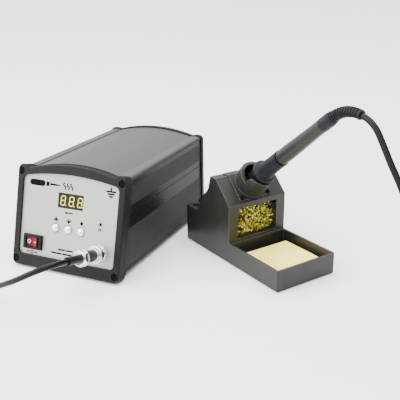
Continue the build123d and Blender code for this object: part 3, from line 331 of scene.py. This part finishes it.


# the edge colours in this table are painted highlights along the edges
LOOKS = {
    "aluminium_painted_light": painted_light_aluminium_surface(),
    "bezel": plain_surface("bezel", ((0.0060, 0.0064, 0.0052), (0.0090, 0.0094, 0.0078)), 0.0, (0.42, 0.56),
                           (1400.0, 0.00006), 60.0, edge_highlight=(0.030, 0.035, 0.031), edge_radius=0.0006,
                           Specular_IOR_Level=0.10),
    "panel": plain_surface("panel", ((0.305, 0.320, 0.288), (0.34, 0.355, 0.322)), 0.15, (0.40, 0.50),
                           (1200.0, 0.00002), 12.0),
    "button": plain_surface("button", ((0.94, 0.94, 0.93), (0.88, 0.88, 0.87)), 1.0, (0.04, 0.09),
                            (900.0, 0.00001), 90.0),
    "window": smoked_window(),
    "segment": lit_segment(),
    "module": plain_surface("module", ((0.02, 0.02, 0.02), (0.03, 0.03, 0.03)), 0.0, (0.5, 0.6)),
    "board": board_surface(),
    "black_plastic": plain_surface("black_plastic", ((0.002, 0.002, 0.002), (0.004, 0.004, 0.004)), 0.0,
                                   (0.40, 0.52), (1800.0, 0.00005), edge_highlight=(0.012, 0.012, 0.012),
                                   Specular_IOR_Level=0.12),
    "rocker": plain_surface("rocker", ((0.070, 0.0006, 0.001), (0.090, 0.0009, 0.0014)), 0.0, (0.28, 0.38),
                            (500.0, 0.00001), 120.0, edge_highlight=(0.13, 0.003, 0.003), Specular_IOR_Level=0.12),
    "mark_white": plain_surface("mark_white", ((0.70, 0.55, 0.54), (0.62, 0.48, 0.47)), 0.0, (0.40, 0.5)),
    "ink": plain_surface("ink", ((0.0015, 0.0015, 0.0015), (0.003, 0.003, 0.003)), 0.0, (0.70, 0.80),
                         edge_radius=0, Specular_IOR_Level=0.05),
    "contact": plain_surface("contact", ((0.70, 0.62, 0.42), (0.62, 0.54, 0.36)), 1.0, (0.25, 0.35)),
    "chrome": plain_surface("chrome", ((0.80, 0.79, 0.77), (0.70, 0.69, 0.67)), 1.0, (0.07, 0.15),
                            (700.0, 0.00002), 140.0, edge_highlight=(0.92, 0.92, 0.90), edge_radius=0.0003),
    "gunmetal": plain_surface("gunmetal", ((0.020, 0.020, 0.019), (0.032, 0.031, 0.029)), 0.6, (0.26, 0.38),
                              (900.0, 0.00003), 120.0, edge_highlight=(0.16, 0.16, 0.15), edge_radius=0.0002,
                              Specular_IOR_Level=0.3),
    "boot": plain_surface("boot", ((0.002, 0.002, 0.0025), (0.0035, 0.0035, 0.004)), 0.0, (0.34, 0.46),
                          (900.0, 0.00005), 70.0, Specular_IOR_Level=0.12),
    "black_screw": plain_surface("black_screw", ((0.002, 0.002, 0.002), (0.004, 0.004, 0.004)), 0.0,
                                 (0.24, 0.36), (900.0, 0.00003), 200.0, edge_highlight=(0.035, 0.035, 0.032),
                                 edge_radius=0.0002, Specular_IOR_Level=0.03),
    "zinc": plain_surface("zinc", ((0.42, 0.43, 0.44), (0.52, 0.52, 0.50)), 1.0, (0.20, 0.32),
                          (900.0, 0.00003), 160.0, edge_highlight=(0.8, 0.8, 0.8), edge_radius=0.0002),
    "fuse_glass": plain_surface("fuse_glass", ((0.55, 0.58, 0.60), (0.50, 0.53, 0.55)), 0.1, (0.05, 0.12)),
    "sleeve": plain_surface("sleeve", ((0.02, 0.03, 0.08), (0.03, 0.04, 0.10)), 0.0, (0.22, 0.34)),
    "laminations": banded_surface("laminations", ((0.10, 0.10, 0.105), (0.16, 0.16, 0.16)), 0.6,
                                  (0.35, 0.5), "X", 0.0010, 0.0001),
    "winding": banded_surface("winding", ((0.36, 0.10, 0.03), (0.52, 0.20, 0.06)), 0.85, (0.22, 0.34),
                              "Z", 0.0009, 0.0003),
    "fins": plain_surface("fins", ((0.40, 0.40, 0.41), (0.48, 0.48, 0.49)), 0.95, (0.30, 0.42),
                          (900.0, 0.00003), 20.0, (1, 0.05, 1)),
    "foot": plain_surface("foot", ((0.008, 0.008, 0.008), (0.014, 0.014, 0.014)), 0.0, (0.62, 0.78),
                          (700.0, 0.00010)),
    "holder_paint": plain_surface("holder_paint", ((0.0165, 0.0165, 0.0140), (0.0215, 0.0215, 0.0185)), 0.3,
                                  (0.28, 0.42), (2600.0, 0.00005), 60.0, edge_highlight=(0.16, 0.16, 0.145),
                                  edge_radius=0.0005, Specular_IOR_Level=0.32),
    "sheet": plain_surface("sheet", ((0.26, 0.26, 0.27), (0.34, 0.34, 0.34)), 1.0, (0.28, 0.42),
                           (900.0, 0.00003), 30.0, (1, 1, 0.05)),
    # the very dark tone is painted shade in patches among the curls; the pale tone is the brass itself
    "brass": plain_surface("brass", ((0.10, 0.085, 0.004), (1.0, 0.92, 0.20)), 1.0, (0.06, 0.16),
                           (700.0, 0.00005), 520.0, edge_radius=0),
    "sponge": sponge_surface(),
    "tip": plain_surface("tip", ((0.42, 0.40, 0.38), (0.58, 0.56, 0.54)), 1.0, (0.20, 0.38),
                         (600.0, 0.00005), 260.0),
    "ceramic": plain_surface("ceramic", ((0.74, 0.72, 0.66), (0.80, 0.78, 0.72)), 0.0, (0.3, 0.4)),
    "steel": plain_surface("steel", ((0.56, 0.54, 0.50), (0.66, 0.64, 0.60)), 1.0, (0.16, 0.28),
                           (900.0, 0.00003), 180.0, edge_highlight=(0.85, 0.84, 0.80), edge_radius=0.0002),
    "nose": plain_surface("nose", ((0.0030, 0.004, 0.006), (0.0055, 0.007, 0.010)), 0.0, (0.38, 0.5),
                          (1200.0, 0.00006), 90.0, edge_highlight=(0.014, 0.017, 0.022), Specular_IOR_Level=0.16),
    "grip": plain_surface("grip", ((0.0032, 0.0042, 0.006), (0.0058, 0.0072, 0.010)), 0.0, (0.44, 0.6),
                          (1500.0, 0.00010), 240.0, edge_highlight=(0.014, 0.017, 0.022), Specular_IOR_Level=0.16),
    "ring": plain_surface("ring", ((0.001, 0.001, 0.001), (0.002, 0.002, 0.002)), 0.0, (0.4, 0.5),
                          edge_radius=0, Specular_IOR_Level=0.05),
    "handle": plain_surface("handle", ((0.0095, 0.0100, 0.0082), (0.0135, 0.0140, 0.0118)), 0.0,
                            (0.30, 0.42), (1600.0, 0.00004), 60.0, edge_highlight=(0.04, 0.04, 0.036),
                            Specular_IOR_Level=0.24),
    "relief": plain_surface("relief", ((0.0050, 0.0056, 0.0065), (0.0080, 0.0088, 0.0100)), 0.0,
                            (0.40, 0.54), (1200.0, 0.00008), 90.0, Specular_IOR_Level=0.12),
    "cord": plain_surface("cord", ((0.002, 0.002, 0.0025), (0.004, 0.004, 0.0045)), 0.0, (0.24, 0.34),
                          (1100.0, 0.00004), 50.0, Specular_IOR_Level=0.10, Coat_Weight=0.06,
                          Coat_Roughness=0.05),
}

NODE_LOOKS = {
    "aluminium_painted_light": ("upper_case", "lower_case"),
    "bezel": ("front_bezel", "rear_bezel"),
    "panel": ("front_panel", "rear_panel"),
    "button": ("button_up", "button_down", "button_set"),
    "window": ("display_window",),
    "module": ("display_module",),
    "board": ("front_card", "main_board"),
    "black_plastic": ("key_switches", "switch_frame", "mains_inlet", "fuse_drawer", "calibration_trimmer"),
    "rocker": ("power_rocker",),
    "contact": ("switch_terminals",),
    "chrome": ("panel_socket", "plug_ring", "plug_nut"),
    "gunmetal": ("plug_shell",),
    "boot": ("plug_boot",),
    "black_screw": ("front_bezel_screws", "rear_bezel_screws", "cup_screws"),
    "zinc": ("trimmer_screw", "socket_nut", "inlet_screws", "earth_jack", "board_screws", "foot_screws",
             "base_screws"),
    "fuse_glass": ("fuse",),
    "sleeve": ("capacitors",),
    "laminations": ("transformer_core",),
    "winding": ("transformer_coil",),
    "fins": ("heat_sink",),
    "foot": ("unit_feet", "holder_feet"),
    "holder_paint": ("holder_body", "iron_cup"),
    "sheet": ("wool_box", "base_plate"),
    "tip": ("iron_tip",),
    "ceramic": ("heater",),
    "steel": ("tip_shroud", "shroud_nut"),
    "nose": ("iron_nose", "rear_cap"),
    "grip": ("iron_grip",),
    "ring": ("grip_ring",),
    "handle": ("handle_body",),
    "relief": ("strain_relief",),
}

for look_name, wearers in NODE_LOOKS.items():
    for wearer in wearers:
        for slot in nodes[wearer].material_slots:
            slot.material = LOOKS[look_name]


# ---------------------------------------------------------------- the iron's cord
CORD_DIAMETER = 0.0057
CORD_ROUTE = [
    (0.0449, -0.1617, 0.04704),
    (0.0449, -0.17325, 0.05029),
    (0.0388, -0.1850, 0.0506),
    (0.0260, -0.1925, 0.0453),
    (0.0080, -0.1948, 0.0352),
    (-0.0130, -0.1910, 0.0246),
    (-0.0330, -0.1885, 0.0136),
    (-0.0520, -0.1970, 0.0052),
    (-0.0620, -0.2190, 0.0029),
    (-0.0625, -0.2530, 0.0029),
    (-0.0480, -0.2880, 0.0029),
    (-0.0140, -0.3100, 0.0029),
    (0.0310, -0.3180, 0.0029),
    (0.0820, -0.3160, 0.0029),
    (0.1340, -0.3090, 0.0029),
    (0.1880, -0.2950, 0.0029),
    (0.2430, -0.2880, 0.0029),
    (0.2920, -0.2670, 0.0029),
    (0.3310, -0.2390, 0.0029),
    (0.3570, -0.2060, 0.0029),
    (0.3650, -0.1710, 0.0062),
    (0.3640, -0.1430, 0.0260),
    (0.3570, -0.1205, 0.0560),
    (0.3455, -0.1015, 0.0930),
    (0.33316, -0.08844, 0.1284),
    (0.3196, -0.0797, 0.1491),
    (0.3106, -0.0739, 0.1650),
    (0.3042, -0.0698, 0.1759),
    (0.29605, -0.06452, 0.18292),
    (0.2895, -0.0603, 0.18476),
]
CORD_SIDES = 20
CORD_STEPS = 14             # mesh steps between two places of the route


def smooth_route(places):
    """Points along the smooth line that the route's places control."""
    curve = bpy.data.curves.new("cord_line", "CURVE")
    curve.dimensions = "3D"
    spline = curve.splines.new("NURBS")
    spline.points.add(len(places) - 1)
    for point, place in zip(spline.points, places):
        point.co = (*place, 1.0)
    spline.order_u = 3
    spline.use_endpoint_u = True
    spline.resolution_u = CORD_STEPS
    line = bpy.data.objects.new("cord_line", curve)
    scene.collection.objects.link(line)
    mesh = bpy.data.meshes.new_from_object(line)
    path = [vertex.co.copy() for vertex in mesh.vertices]
    bpy.data.meshes.remove(mesh)
    bpy.data.objects.remove(line)
    bpy.data.curves.remove(curve)
    return path


def make_cord():
    """The cord from the plug's boot to the iron's strain relief, one limp line."""
    path = smooth_route(CORD_ROUTE)
    mesh = bmesh.new()
    add_tube(mesh, path, CORD_DIAMETER / 2, CORD_SIDES)
    cord = add_piece("iron_cord", mesh, LOOKS["cord"], None)
    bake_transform(cord)
    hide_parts("cord_bench_run", "cord_iron_drop")


make_cord()


# ---------------------------------------------------------------- marks on the panel
MARK_THICK = 0.08           # millimetres of print that stands on a surface
MARK_SINK = -0.02           # and how far it reaches into it
END_STEPS = 6               # steps around a stroke's rounded end


class Print:
    """Thin raised marks drawn on a flat surface: place(x, y, n) gives its points."""

    def __init__(self, place):
        self.mesh = bmesh.new()
        self.place = place

    def outline(self, points):
        """A filled shape from its corners."""
        low = [self.mesh.verts.new(self.place(x, y, MARK_SINK)) for x, y in points]
        high = [self.mesh.verts.new(self.place(x, y, MARK_THICK)) for x, y in points]
        self.mesh.faces.new(low[::-1])
        self.mesh.faces.new(high)
        for k in range(len(points)):
            after = (k + 1) % len(points)
            self.mesh.faces.new((low[k], low[after], high[after], high[k]))

    def stroke(self, start, end, width):
        """A straight line with rounded ends."""
        along = Vector((end[0] - start[0], end[1] - start[1]))
        angle = math.atan2(along.y, along.x)
        points = []
        for centre, turn in ((start, angle + math.pi / 2), (end, angle - math.pi / 2)):
            for k in range(END_STEPS + 1):
                a = turn + math.pi * k / END_STEPS
                points.append((centre[0] + width / 2 * math.cos(a), centre[1] + width / 2 * math.sin(a)))
        self.outline(points)

    def arc(self, centre, radius, width, start=0.0, end=360.0, steps=36):
        """A ring, or the part of one between two angles in degrees."""
        whole = end - start >= 360.0
        count = steps if whole else steps + 1
        angles = [math.radians(start + (end - start) * k / steps) for k in range(count)]
        rows = []
        inner, outer = radius - width / 2, radius + width / 2
        for r, n in ((inner, MARK_SINK), (outer, MARK_SINK), (outer, MARK_THICK), (inner, MARK_THICK)):
            places = [self.place(centre[0] + r * math.cos(a), centre[1] + r * math.sin(a), n)
                      for a in angles]
            rows.append([self.mesh.verts.new(place) for place in places])
        for k in range(count if whole else count - 1):
            after = (k + 1) % count
            for i in range(4):
                a, b = rows[i], rows[(i + 1) % 4]
                self.mesh.faces.new((a[k], b[k], b[after], a[after]))
        if not whole:
            self.mesh.faces.new([row[0] for row in rows])
            self.mesh.faces.new([row[-1] for row in rows[::-1]])

    def disc(self, centre, radius, steps=28):
        self.outline([(centre[0] + radius * math.cos(2 * math.pi * k / steps),
                       centre[1] + radius * math.sin(2 * math.pi * k / steps)) for k in range(steps)])


def arrow_mark(marks, x, s, way):
    """An arrow that points up (way 1) or down (way -1)."""
    marks.stroke((x, s - 2.0), (x, s + 2.0), 1.4)
    marks.outline([(x, s + 2.6 * way), (x + 3.3, s - 0.6 * way), (x + 2.3, s - 1.6 * way),
                   (x, s + 0.4 * way), (x - 2.3, s - 1.6 * way), (x - 3.3, s - 0.6 * way)])


def star_mark(marks, x, s, outer, inner):
    """A star of five points."""
    points = []
    for k in range(10):
        radius = outer if k % 2 == 0 else inner
        angle = math.pi / 2 + math.pi * k / 5
        points.append((x + radius * math.cos(angle), s + radius * math.sin(angle)))
    marks.outline(points)


def thermometer_mark(marks, s):
    """A lying thermometer: bulb, tube and four ticks."""
    bulb_x = -3.4
    marks.disc((bulb_x, s), 1.35)
    marks.stroke((bulb_x, s), (5.0, s), 1.2)
    for k in range(4):
        tick_x = -0.6 + 1.6 * k
        marks.stroke((tick_x, s + 1.0), (tick_x, s + 1.6), 0.5)


def iron_mark(marks, x, s):
    """A soldering iron drawn as plain bars, with three wisps of smoke, from its left end."""
    marks.stroke((x + 3.3, s), (x + 17.0, s), 6.6)
    marks.outline([(x + 21.4, s + 2.6), (x + 21.4, s - 2.6), (x + 25.6, s - 2.1), (x + 25.6, s + 2.1)])
    marks.outline([(x + 26.5, s + 1.2), (x + 26.5, s - 1.2), (x + 36.0, s - 0.9),
                   (x + 40.6, s), (x + 36.0, s + 0.9)])
    for wisp_x in (x + 45.0, x + 49.4, x + 53.8):
        marks.arc((wisp_x, s + 1.5), 1.5, 1.5, 90.0, 270.0, 14)
        marks.arc((wisp_x, s - 1.5), 1.5, 1.5, -90.0, 90.0, 14)


def earth_mark(marks, x, s):
    """The sign for earth: a stem on three bars that get shorter."""
    marks.stroke((x, s + 3.6), (x, s), 1.7)
    for k, half in enumerate((5.2, 3.5, 1.7)):
        marks.stroke((x - half, s - 2.6 * k), (x + half, s - 2.6 * k), 1.8)


def turning_mark(marks, x, s):
    """An open ring with a pointer, for a part that a screwdriver turns."""
    marks.arc((x, s), 1.5, 0.9, -50.0, 230.0, 20)
    marks.stroke((x, s), (x + 0.8, s + 0.9), 0.6)


def power_mark(marks, x, s):
    """An open ring with a stem, between two dashes."""
    marks.arc((x, s), 1.7, 1.0, 125.0, 415.0, 24)
    marks.stroke((x, s + 0.5), (x, s + 2.2), 0.7)
    for side in (-1, 1):
        marks.stroke((x + 3.7 * side, s), (x + 6.4 * side, s), 1.3)


# Two broken rules beside the socket: each has its height and its bars' ends.
BROKEN_RULES = (
    (26.8, ((-9.4, -1.8), (0.4, 8.2))),
    (22.4, ((-17.9, -6.0), (-3.8, 7.0))),
)


def panel_marks():
    """Plain signs: arrows, star, thermometer, iron, earth, trimmer, power and broken rules."""
    marks = Print(lambda x, y, n: on_face(x, y, PANEL_TOP + n))
    arrow_mark(marks, BUTTON_X[0], BUTTON_S + 9.0, 1)
    arrow_mark(marks, BUTTON_X[1], BUTTON_S + 9.0, -1)
    star_mark(marks, BUTTON_X[2], BUTTON_S + 8.9, 3.0, 1.5)
    thermometer_mark(marks, DISPLAY_S - 12.6)
    iron_mark(marks, -52.6, 94.9)
    earth_mark(marks, 49.3, 96.0)
    turning_mark(marks, 39.4, 54.7)
    power_mark(marks, -43.7, 18.6)
    for s, bars in BROKEN_RULES:
        for start_x, end_x in bars:
            marks.stroke((start_x, s), (end_x, s), 1.8)
    piece = add_piece("panel_print", marks.mesh, LOOKS["ink"], "station", smooth=False)


DIGIT_MIDDLES = (-9.8, 0.8, 11.4)
DIGIT_HALF_WIDE = 2.5
DIGIT_HALF_TALL = 4.8
DIGIT_LEAN = 0.10           # across for each millimetre up
DIGIT_DEPTH = -0.4          # from the panel's outer face
SEGMENT_THICK = 1.0
SEGMENT_GAP = 0.18          # what a segment stops short of its corners
POINT_RADIUS = 0.62
POINT_STEP = 1.5            # from a figure's right edge to its point


def display_digits():
    """Three leaning seven-segment figures, each with its point."""
    face = Print(lambda x, y, n: on_face(DISPLAY_X + x + DIGIT_LEAN * y, DISPLAY_S + y,
                                         PANEL_TOP + DIGIT_DEPTH + n))

    def segment(x0, y0, x1, y1):
        """A bar with pointed ends, a little short of both corners."""
        along = Vector((x1 - x0, y1 - y0)).normalized()
        across = Vector((-along.y, along.x)) * (SEGMENT_THICK / 2)
        start = Vector((x0, y0)) + along * SEGMENT_GAP
        end = Vector((x1, y1)) - along * SEGMENT_GAP
        inset = along * (SEGMENT_THICK / 2)
        corners = (start, start + inset - across, end - inset - across,
                   end, end - inset + across, start + inset + across)
        face.outline([tuple(corner) for corner in corners])

    for middle in DIGIT_MIDDLES:
        left, right = middle - DIGIT_HALF_WIDE, middle + DIGIT_HALF_WIDE
        for y in (-DIGIT_HALF_TALL, 0.0, DIGIT_HALF_TALL):
            segment(left, y, right, y)
        for x in (left, right):
            segment(x, -DIGIT_HALF_TALL, x, 0.0)
            segment(x, 0.0, x, DIGIT_HALF_TALL)
        face.disc((right + POINT_STEP, -DIGIT_HALF_TALL), POINT_RADIUS)
    piece = add_piece("display_digits", face.mesh, LOOKS["segment"], "station", smooth=False)


# The rocker rests with its left face level and its right face raised by the whole throw.
ROCKER_LEVEL = -0.74        # how far out the left face lies
ROCKER_FOLD = -0.52         # where the two faces meet, from the switch's middle
ROCKER_THROW = math.radians(18.1)
ROCKER_PRINT = 0.04         # how far out of the faces the marks start


def rocker_marks():
    """A ring on the level face and a dash on the raised one."""
    def place(x, y, n):
        past = max(0.0, x - ROCKER_FOLD)
        out = ROCKER_LEVEL + past * math.tan(ROCKER_THROW) + ROCKER_PRINT
        return on_face(SWITCH_X + x, SWITCH_S + y, out + n)

    marks = Print(place)
    marks.arc((-4.6, 0.0), 1.75, 0.85)
    marks.stroke((2.9, 0.0), (5.2, 0.0), 1.15)
    piece = add_piece("rocker_marks", marks.mesh, LOOKS["mark_white"], "power_key", smooth=False)


panel_marks()
display_digits()
rocker_marks()


# ---------------------------------------------------------------- brass wool
WOOL_LOW = (58.0, 12.6, 27.2)       # the wool's corners in the holder, in millimetres
WOOL_HIGH = (84.5, 65.1, 60.5)
WOOL_SLOPE_START = 68.0     # behind this, the wool's top slopes down towards the rear
WOOL_SLOPE_FOOT = (57.0, 54.0)
WOOL_SLOPE = 0.6
WOOL_SEED = 12
WOOL_CURLS = 640
CURL_STEPS = 26
CURL_THICK = 0.06


def wool_limit(place):
    """A point of the wool, held inside the block that the window lets through."""
    u, v, z = (min(max(c, low), high) for c, low, high in zip(place, WOOL_LOW, WOOL_HIGH))
    if u < WOOL_SLOPE_START:
        z = min(z, WOOL_SLOPE_FOOT[1] + (u - WOOL_SLOPE_FOOT[0]) * WOOL_SLOPE)
    return u, v, z


def add_curl(mesh, rng, centre, axis, radius, pitch, turns, wide):
    """One flat ribbon wound in an uneven helix."""
    side = axis.orthogonal().normalized()
    other = axis.cross(side)
    phase = rng.uniform(0, 2 * math.pi)
    swing = rng.uniform(0.15, 0.4)
    rings = []
    for k in range(CURL_STEPS + 1):
        share = k / CURL_STEPS
        angle = phase + 2 * math.pi * turns * share
        r = radius * (1 + swing * math.sin(3.1 * share * math.pi + phase))
        out = side * math.cos(angle) + other * math.sin(angle)
        middle = centre + out * r + axis * (pitch * turns * (share - 0.5))
        ring = []
        for across, lift in ((-wide, 0.0), (wide, 0.0), (wide, CURL_THICK), (-wide, CURL_THICK)):
            ring.append(mesh.verts.new(in_holder(*wool_limit(middle + axis * across + out * lift))))
        rings.append(ring)
    for a, b in zip(rings, rings[1:]):
        for i in range(4):
            mesh.faces.new((a[i], a[(i + 1) % 4], b[(i + 1) % 4], b[i]))
    mesh.faces.new(rings[0][::-1])
    mesh.faces.new(rings[-1])


def brass_wool():
    """Curls packed behind the window: dense in the middle, thin in the corners."""
    rng = random.Random(WOOL_SEED)
    mesh = bmesh.new()
    middle_v, middle_z = HOLDER_MIDDLE, 42.0
    made = 0
    while made < WOOL_CURLS:
        u = WOOL_HIGH[0] - 1.5 - abs(rng.gauss(0, 8.0))
        v = rng.uniform(WOOL_LOW[1] + 1, WOOL_HIGH[1] - 1)
        z = rng.uniform(WOOL_LOW[2] + 1, WOOL_HIGH[2] - 1)
        corner = (abs(v - middle_v) / 27.0) ** 3 + (max(0.0, z - middle_z) / 19.0) ** 3
        if rng.random() < corner * 0.75:
            continue
        axis = Vector((rng.gauss(0, 0.6), rng.gauss(0, 1), rng.gauss(0, 1))).normalized()
        add_curl(mesh, rng, Vector((u, v, z)), axis, rng.uniform(0.7, 1.7), rng.uniform(0.5, 1.5),
                 rng.uniform(0.9, 2.2), rng.uniform(0.16, 0.36))
        made += 1
    piece = add_piece("brass_curls", mesh, LOOKS["brass"], "wool", smooth=False)
    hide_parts("brass_wool")


brass_wool()


# ---------------------------------------------------------------- sponge
SPONGE_LOW = (99.2, 3.8, 8.35)
SPONGE_HIGH = (162.8, 70.3, 15.9)
SPONGE_CUTS = 72            # across its faces
SPONGE_RISES = 6            # up its sides
SPONGE_ROUND = 2.4          # radius of its upright corners and of its top edge
SPONGE_PORES = 46
SPONGE_SEED = 5


def sponge():
    """A cut block with soft edges, shallow waves, ragged sides and open pores."""
    rng = random.Random(SPONGE_SEED)
    mesh = bmesh.new()
    bmesh.ops.create_cube(mesh, size=1.0)
    flat_edges = [e for e in mesh.edges if abs((e.verts[0].co - e.verts[1].co).z) < 0.5]
    bmesh.ops.subdivide_edges(mesh, edges=flat_edges, cuts=SPONGE_CUTS, use_grid_fill=True)
    upright = [e for e in mesh.edges if abs((e.verts[0].co - e.verts[1].co).z) > 0.5]
    bmesh.ops.subdivide_edges(mesh, edges=upright, cuts=SPONGE_RISES, use_grid_fill=True)
    half = [(h - l) / 2 for l, h in zip(SPONGE_LOW, SPONGE_HIGH)]
    middle = [(h + l) / 2 for l, h in zip(SPONGE_LOW, SPONGE_HIGH)]
    pores = [(rng.uniform(-0.94, 0.94) * half[0], rng.uniform(-0.94, 0.94) * half[1], rng.uniform(0.7, 1.7),
              rng.uniform(0.25, 0.8)) for _ in range(SPONGE_PORES)]
    for vertex in mesh.verts:
        x, y, z = (2 * c * h for c, h in zip(vertex.co, half))
        side_x, side_y = half[0] - SPONGE_ROUND, half[1] - SPONGE_ROUND
        past = Vector((max(0.0, abs(x) - side_x), max(0.0, abs(y) - side_y)))
        reach = past.length
        if past.x > 0 and past.y > 0:
            square = max(past)
            scale = square / reach
            x = math.copysign(side_x + past.x * scale, x)
            y = math.copysign(side_y + past.y * scale, y)
            reach = square
        drop = SPONGE_ROUND - math.sqrt(max(0.0, SPONGE_ROUND ** 2 - min(reach, SPONGE_ROUND) ** 2))
        ragged = noise.noise(Vector((x, y, z)) * 0.35) * 0.5 + noise.noise(Vector((x, y, z)) * 1.1) * 0.25
        if reach > 0:
            x -= math.copysign(abs(ragged) + 0.1, x) * (past.x > 0)
            y -= math.copysign(abs(ragged) + 0.1, y) * (past.y > 0)
        if z > 0:
            z -= 0.42 * drop * (z / half[2])
        if z > half[2] * 0.9 - drop:
            z += noise.noise(Vector((x * 0.06, y * 0.06, 3.0))) * 0.35 - 0.35
            for pore_x, pore_y, radius, depth in pores:
                near = math.hypot(x - pore_x, y - pore_y) / radius
                if near < 1:
                    z -= depth * (1 - near * near)
        vertex.co = in_holder(middle[0] + x, middle[1] + y, middle[2] + z)
    piece = add_piece("cleaning_sponge", mesh, LOOKS["sponge"], "tray_sponge")
    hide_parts("sponge")


sponge()


# ---------------------------------------------------------------- studio
FLOOR_REACH = 20.0
WORLD_STRENGTH = 4.2
WORLD_BRIGHT_WAY = (-0.42, -0.30, 0.86)


def make_floor():
    """Pale paper, with tones that hardly differ."""
    mesh = bmesh.new()
    bmesh.ops.create_grid(mesh, x_segments=8, y_segments=8, size=FLOOR_REACH)
    look = Look("floor", Roughness=0.6, Specular_IOR_Level=0.2)
    paper = look.spread(look.noise(3.0, 4.0), 0.0, 1.0)
    look.link(look.mix(paper, (0.86, 0.87, 0.885), (0.88, 0.885, 0.895)), "Base Color")
    floor = add_piece("floor", mesh, look.material, None, smooth=False)


def make_light(name, place, target, size, power, colour=(1, 1, 1)):
    """A rectangular softbox that faces a target."""
    data = bpy.data.lights.new(name, "AREA")
    data.shape = "RECTANGLE"
    data.size, data.size_y = size
    data.energy = power
    data.color = colour
    light = bpy.data.objects.new(name, data)
    light.location = place
    light.rotation_euler = (Vector(target) - Vector(place)).to_track_quat("-Z", "Y").to_euler()
    scene.collection.objects.link(light)


def make_world():
    """Bright towards the ceiling, the left and the front, dark towards the right wall."""
    world = bpy.data.worlds.new("studio")
    world.use_nodes = True
    tree = world.node_tree
    background = tree.nodes["Background"]
    source = tree.nodes.new("ShaderNodeTexCoord")
    towards = tree.nodes.new("ShaderNodeVectorMath")
    towards.operation = "DOT_PRODUCT"
    towards.inputs[1].default_value = WORLD_BRIGHT_WAY
    tree.links.new(source.outputs["Generated"], towards.inputs[0])
    ramp = tree.nodes.new("ShaderNodeMapRange")
    ramp.interpolation_type = "SMOOTHSTEP"
    for socket, value in (("From Min", -0.05), ("From Max", 0.70), ("To Min", 0.12), ("To Max", 1.0)):
        ramp.inputs[socket].default_value = value
    tree.links.new(towards.outputs["Value"], ramp.inputs["Value"])
    shade = tree.nodes.new("ShaderNodeVectorMath")
    shade.operation = "SCALE"
    shade.inputs[0].default_value = (0.97, 0.985, 1.0)
    tree.links.new(ramp.outputs["Result"], shade.inputs["Scale"])
    tree.links.new(shade.outputs["Vector"], background.inputs["Color"])
    background.inputs["Strength"].default_value = WORLD_STRENGTH
    scene.world = world


make_floor()
make_world()
make_light("top_softbox", (0.05, 0.05, 1.5), (0.1, 0.0, 0.0), (1.6, 1.6), 30.0)
make_light("left_softbox", (-1.2, -0.9, 0.9), (0.05, 0.0, 0.05), (1.2, 1.0), 30.0, (1.0, 0.985, 0.96))
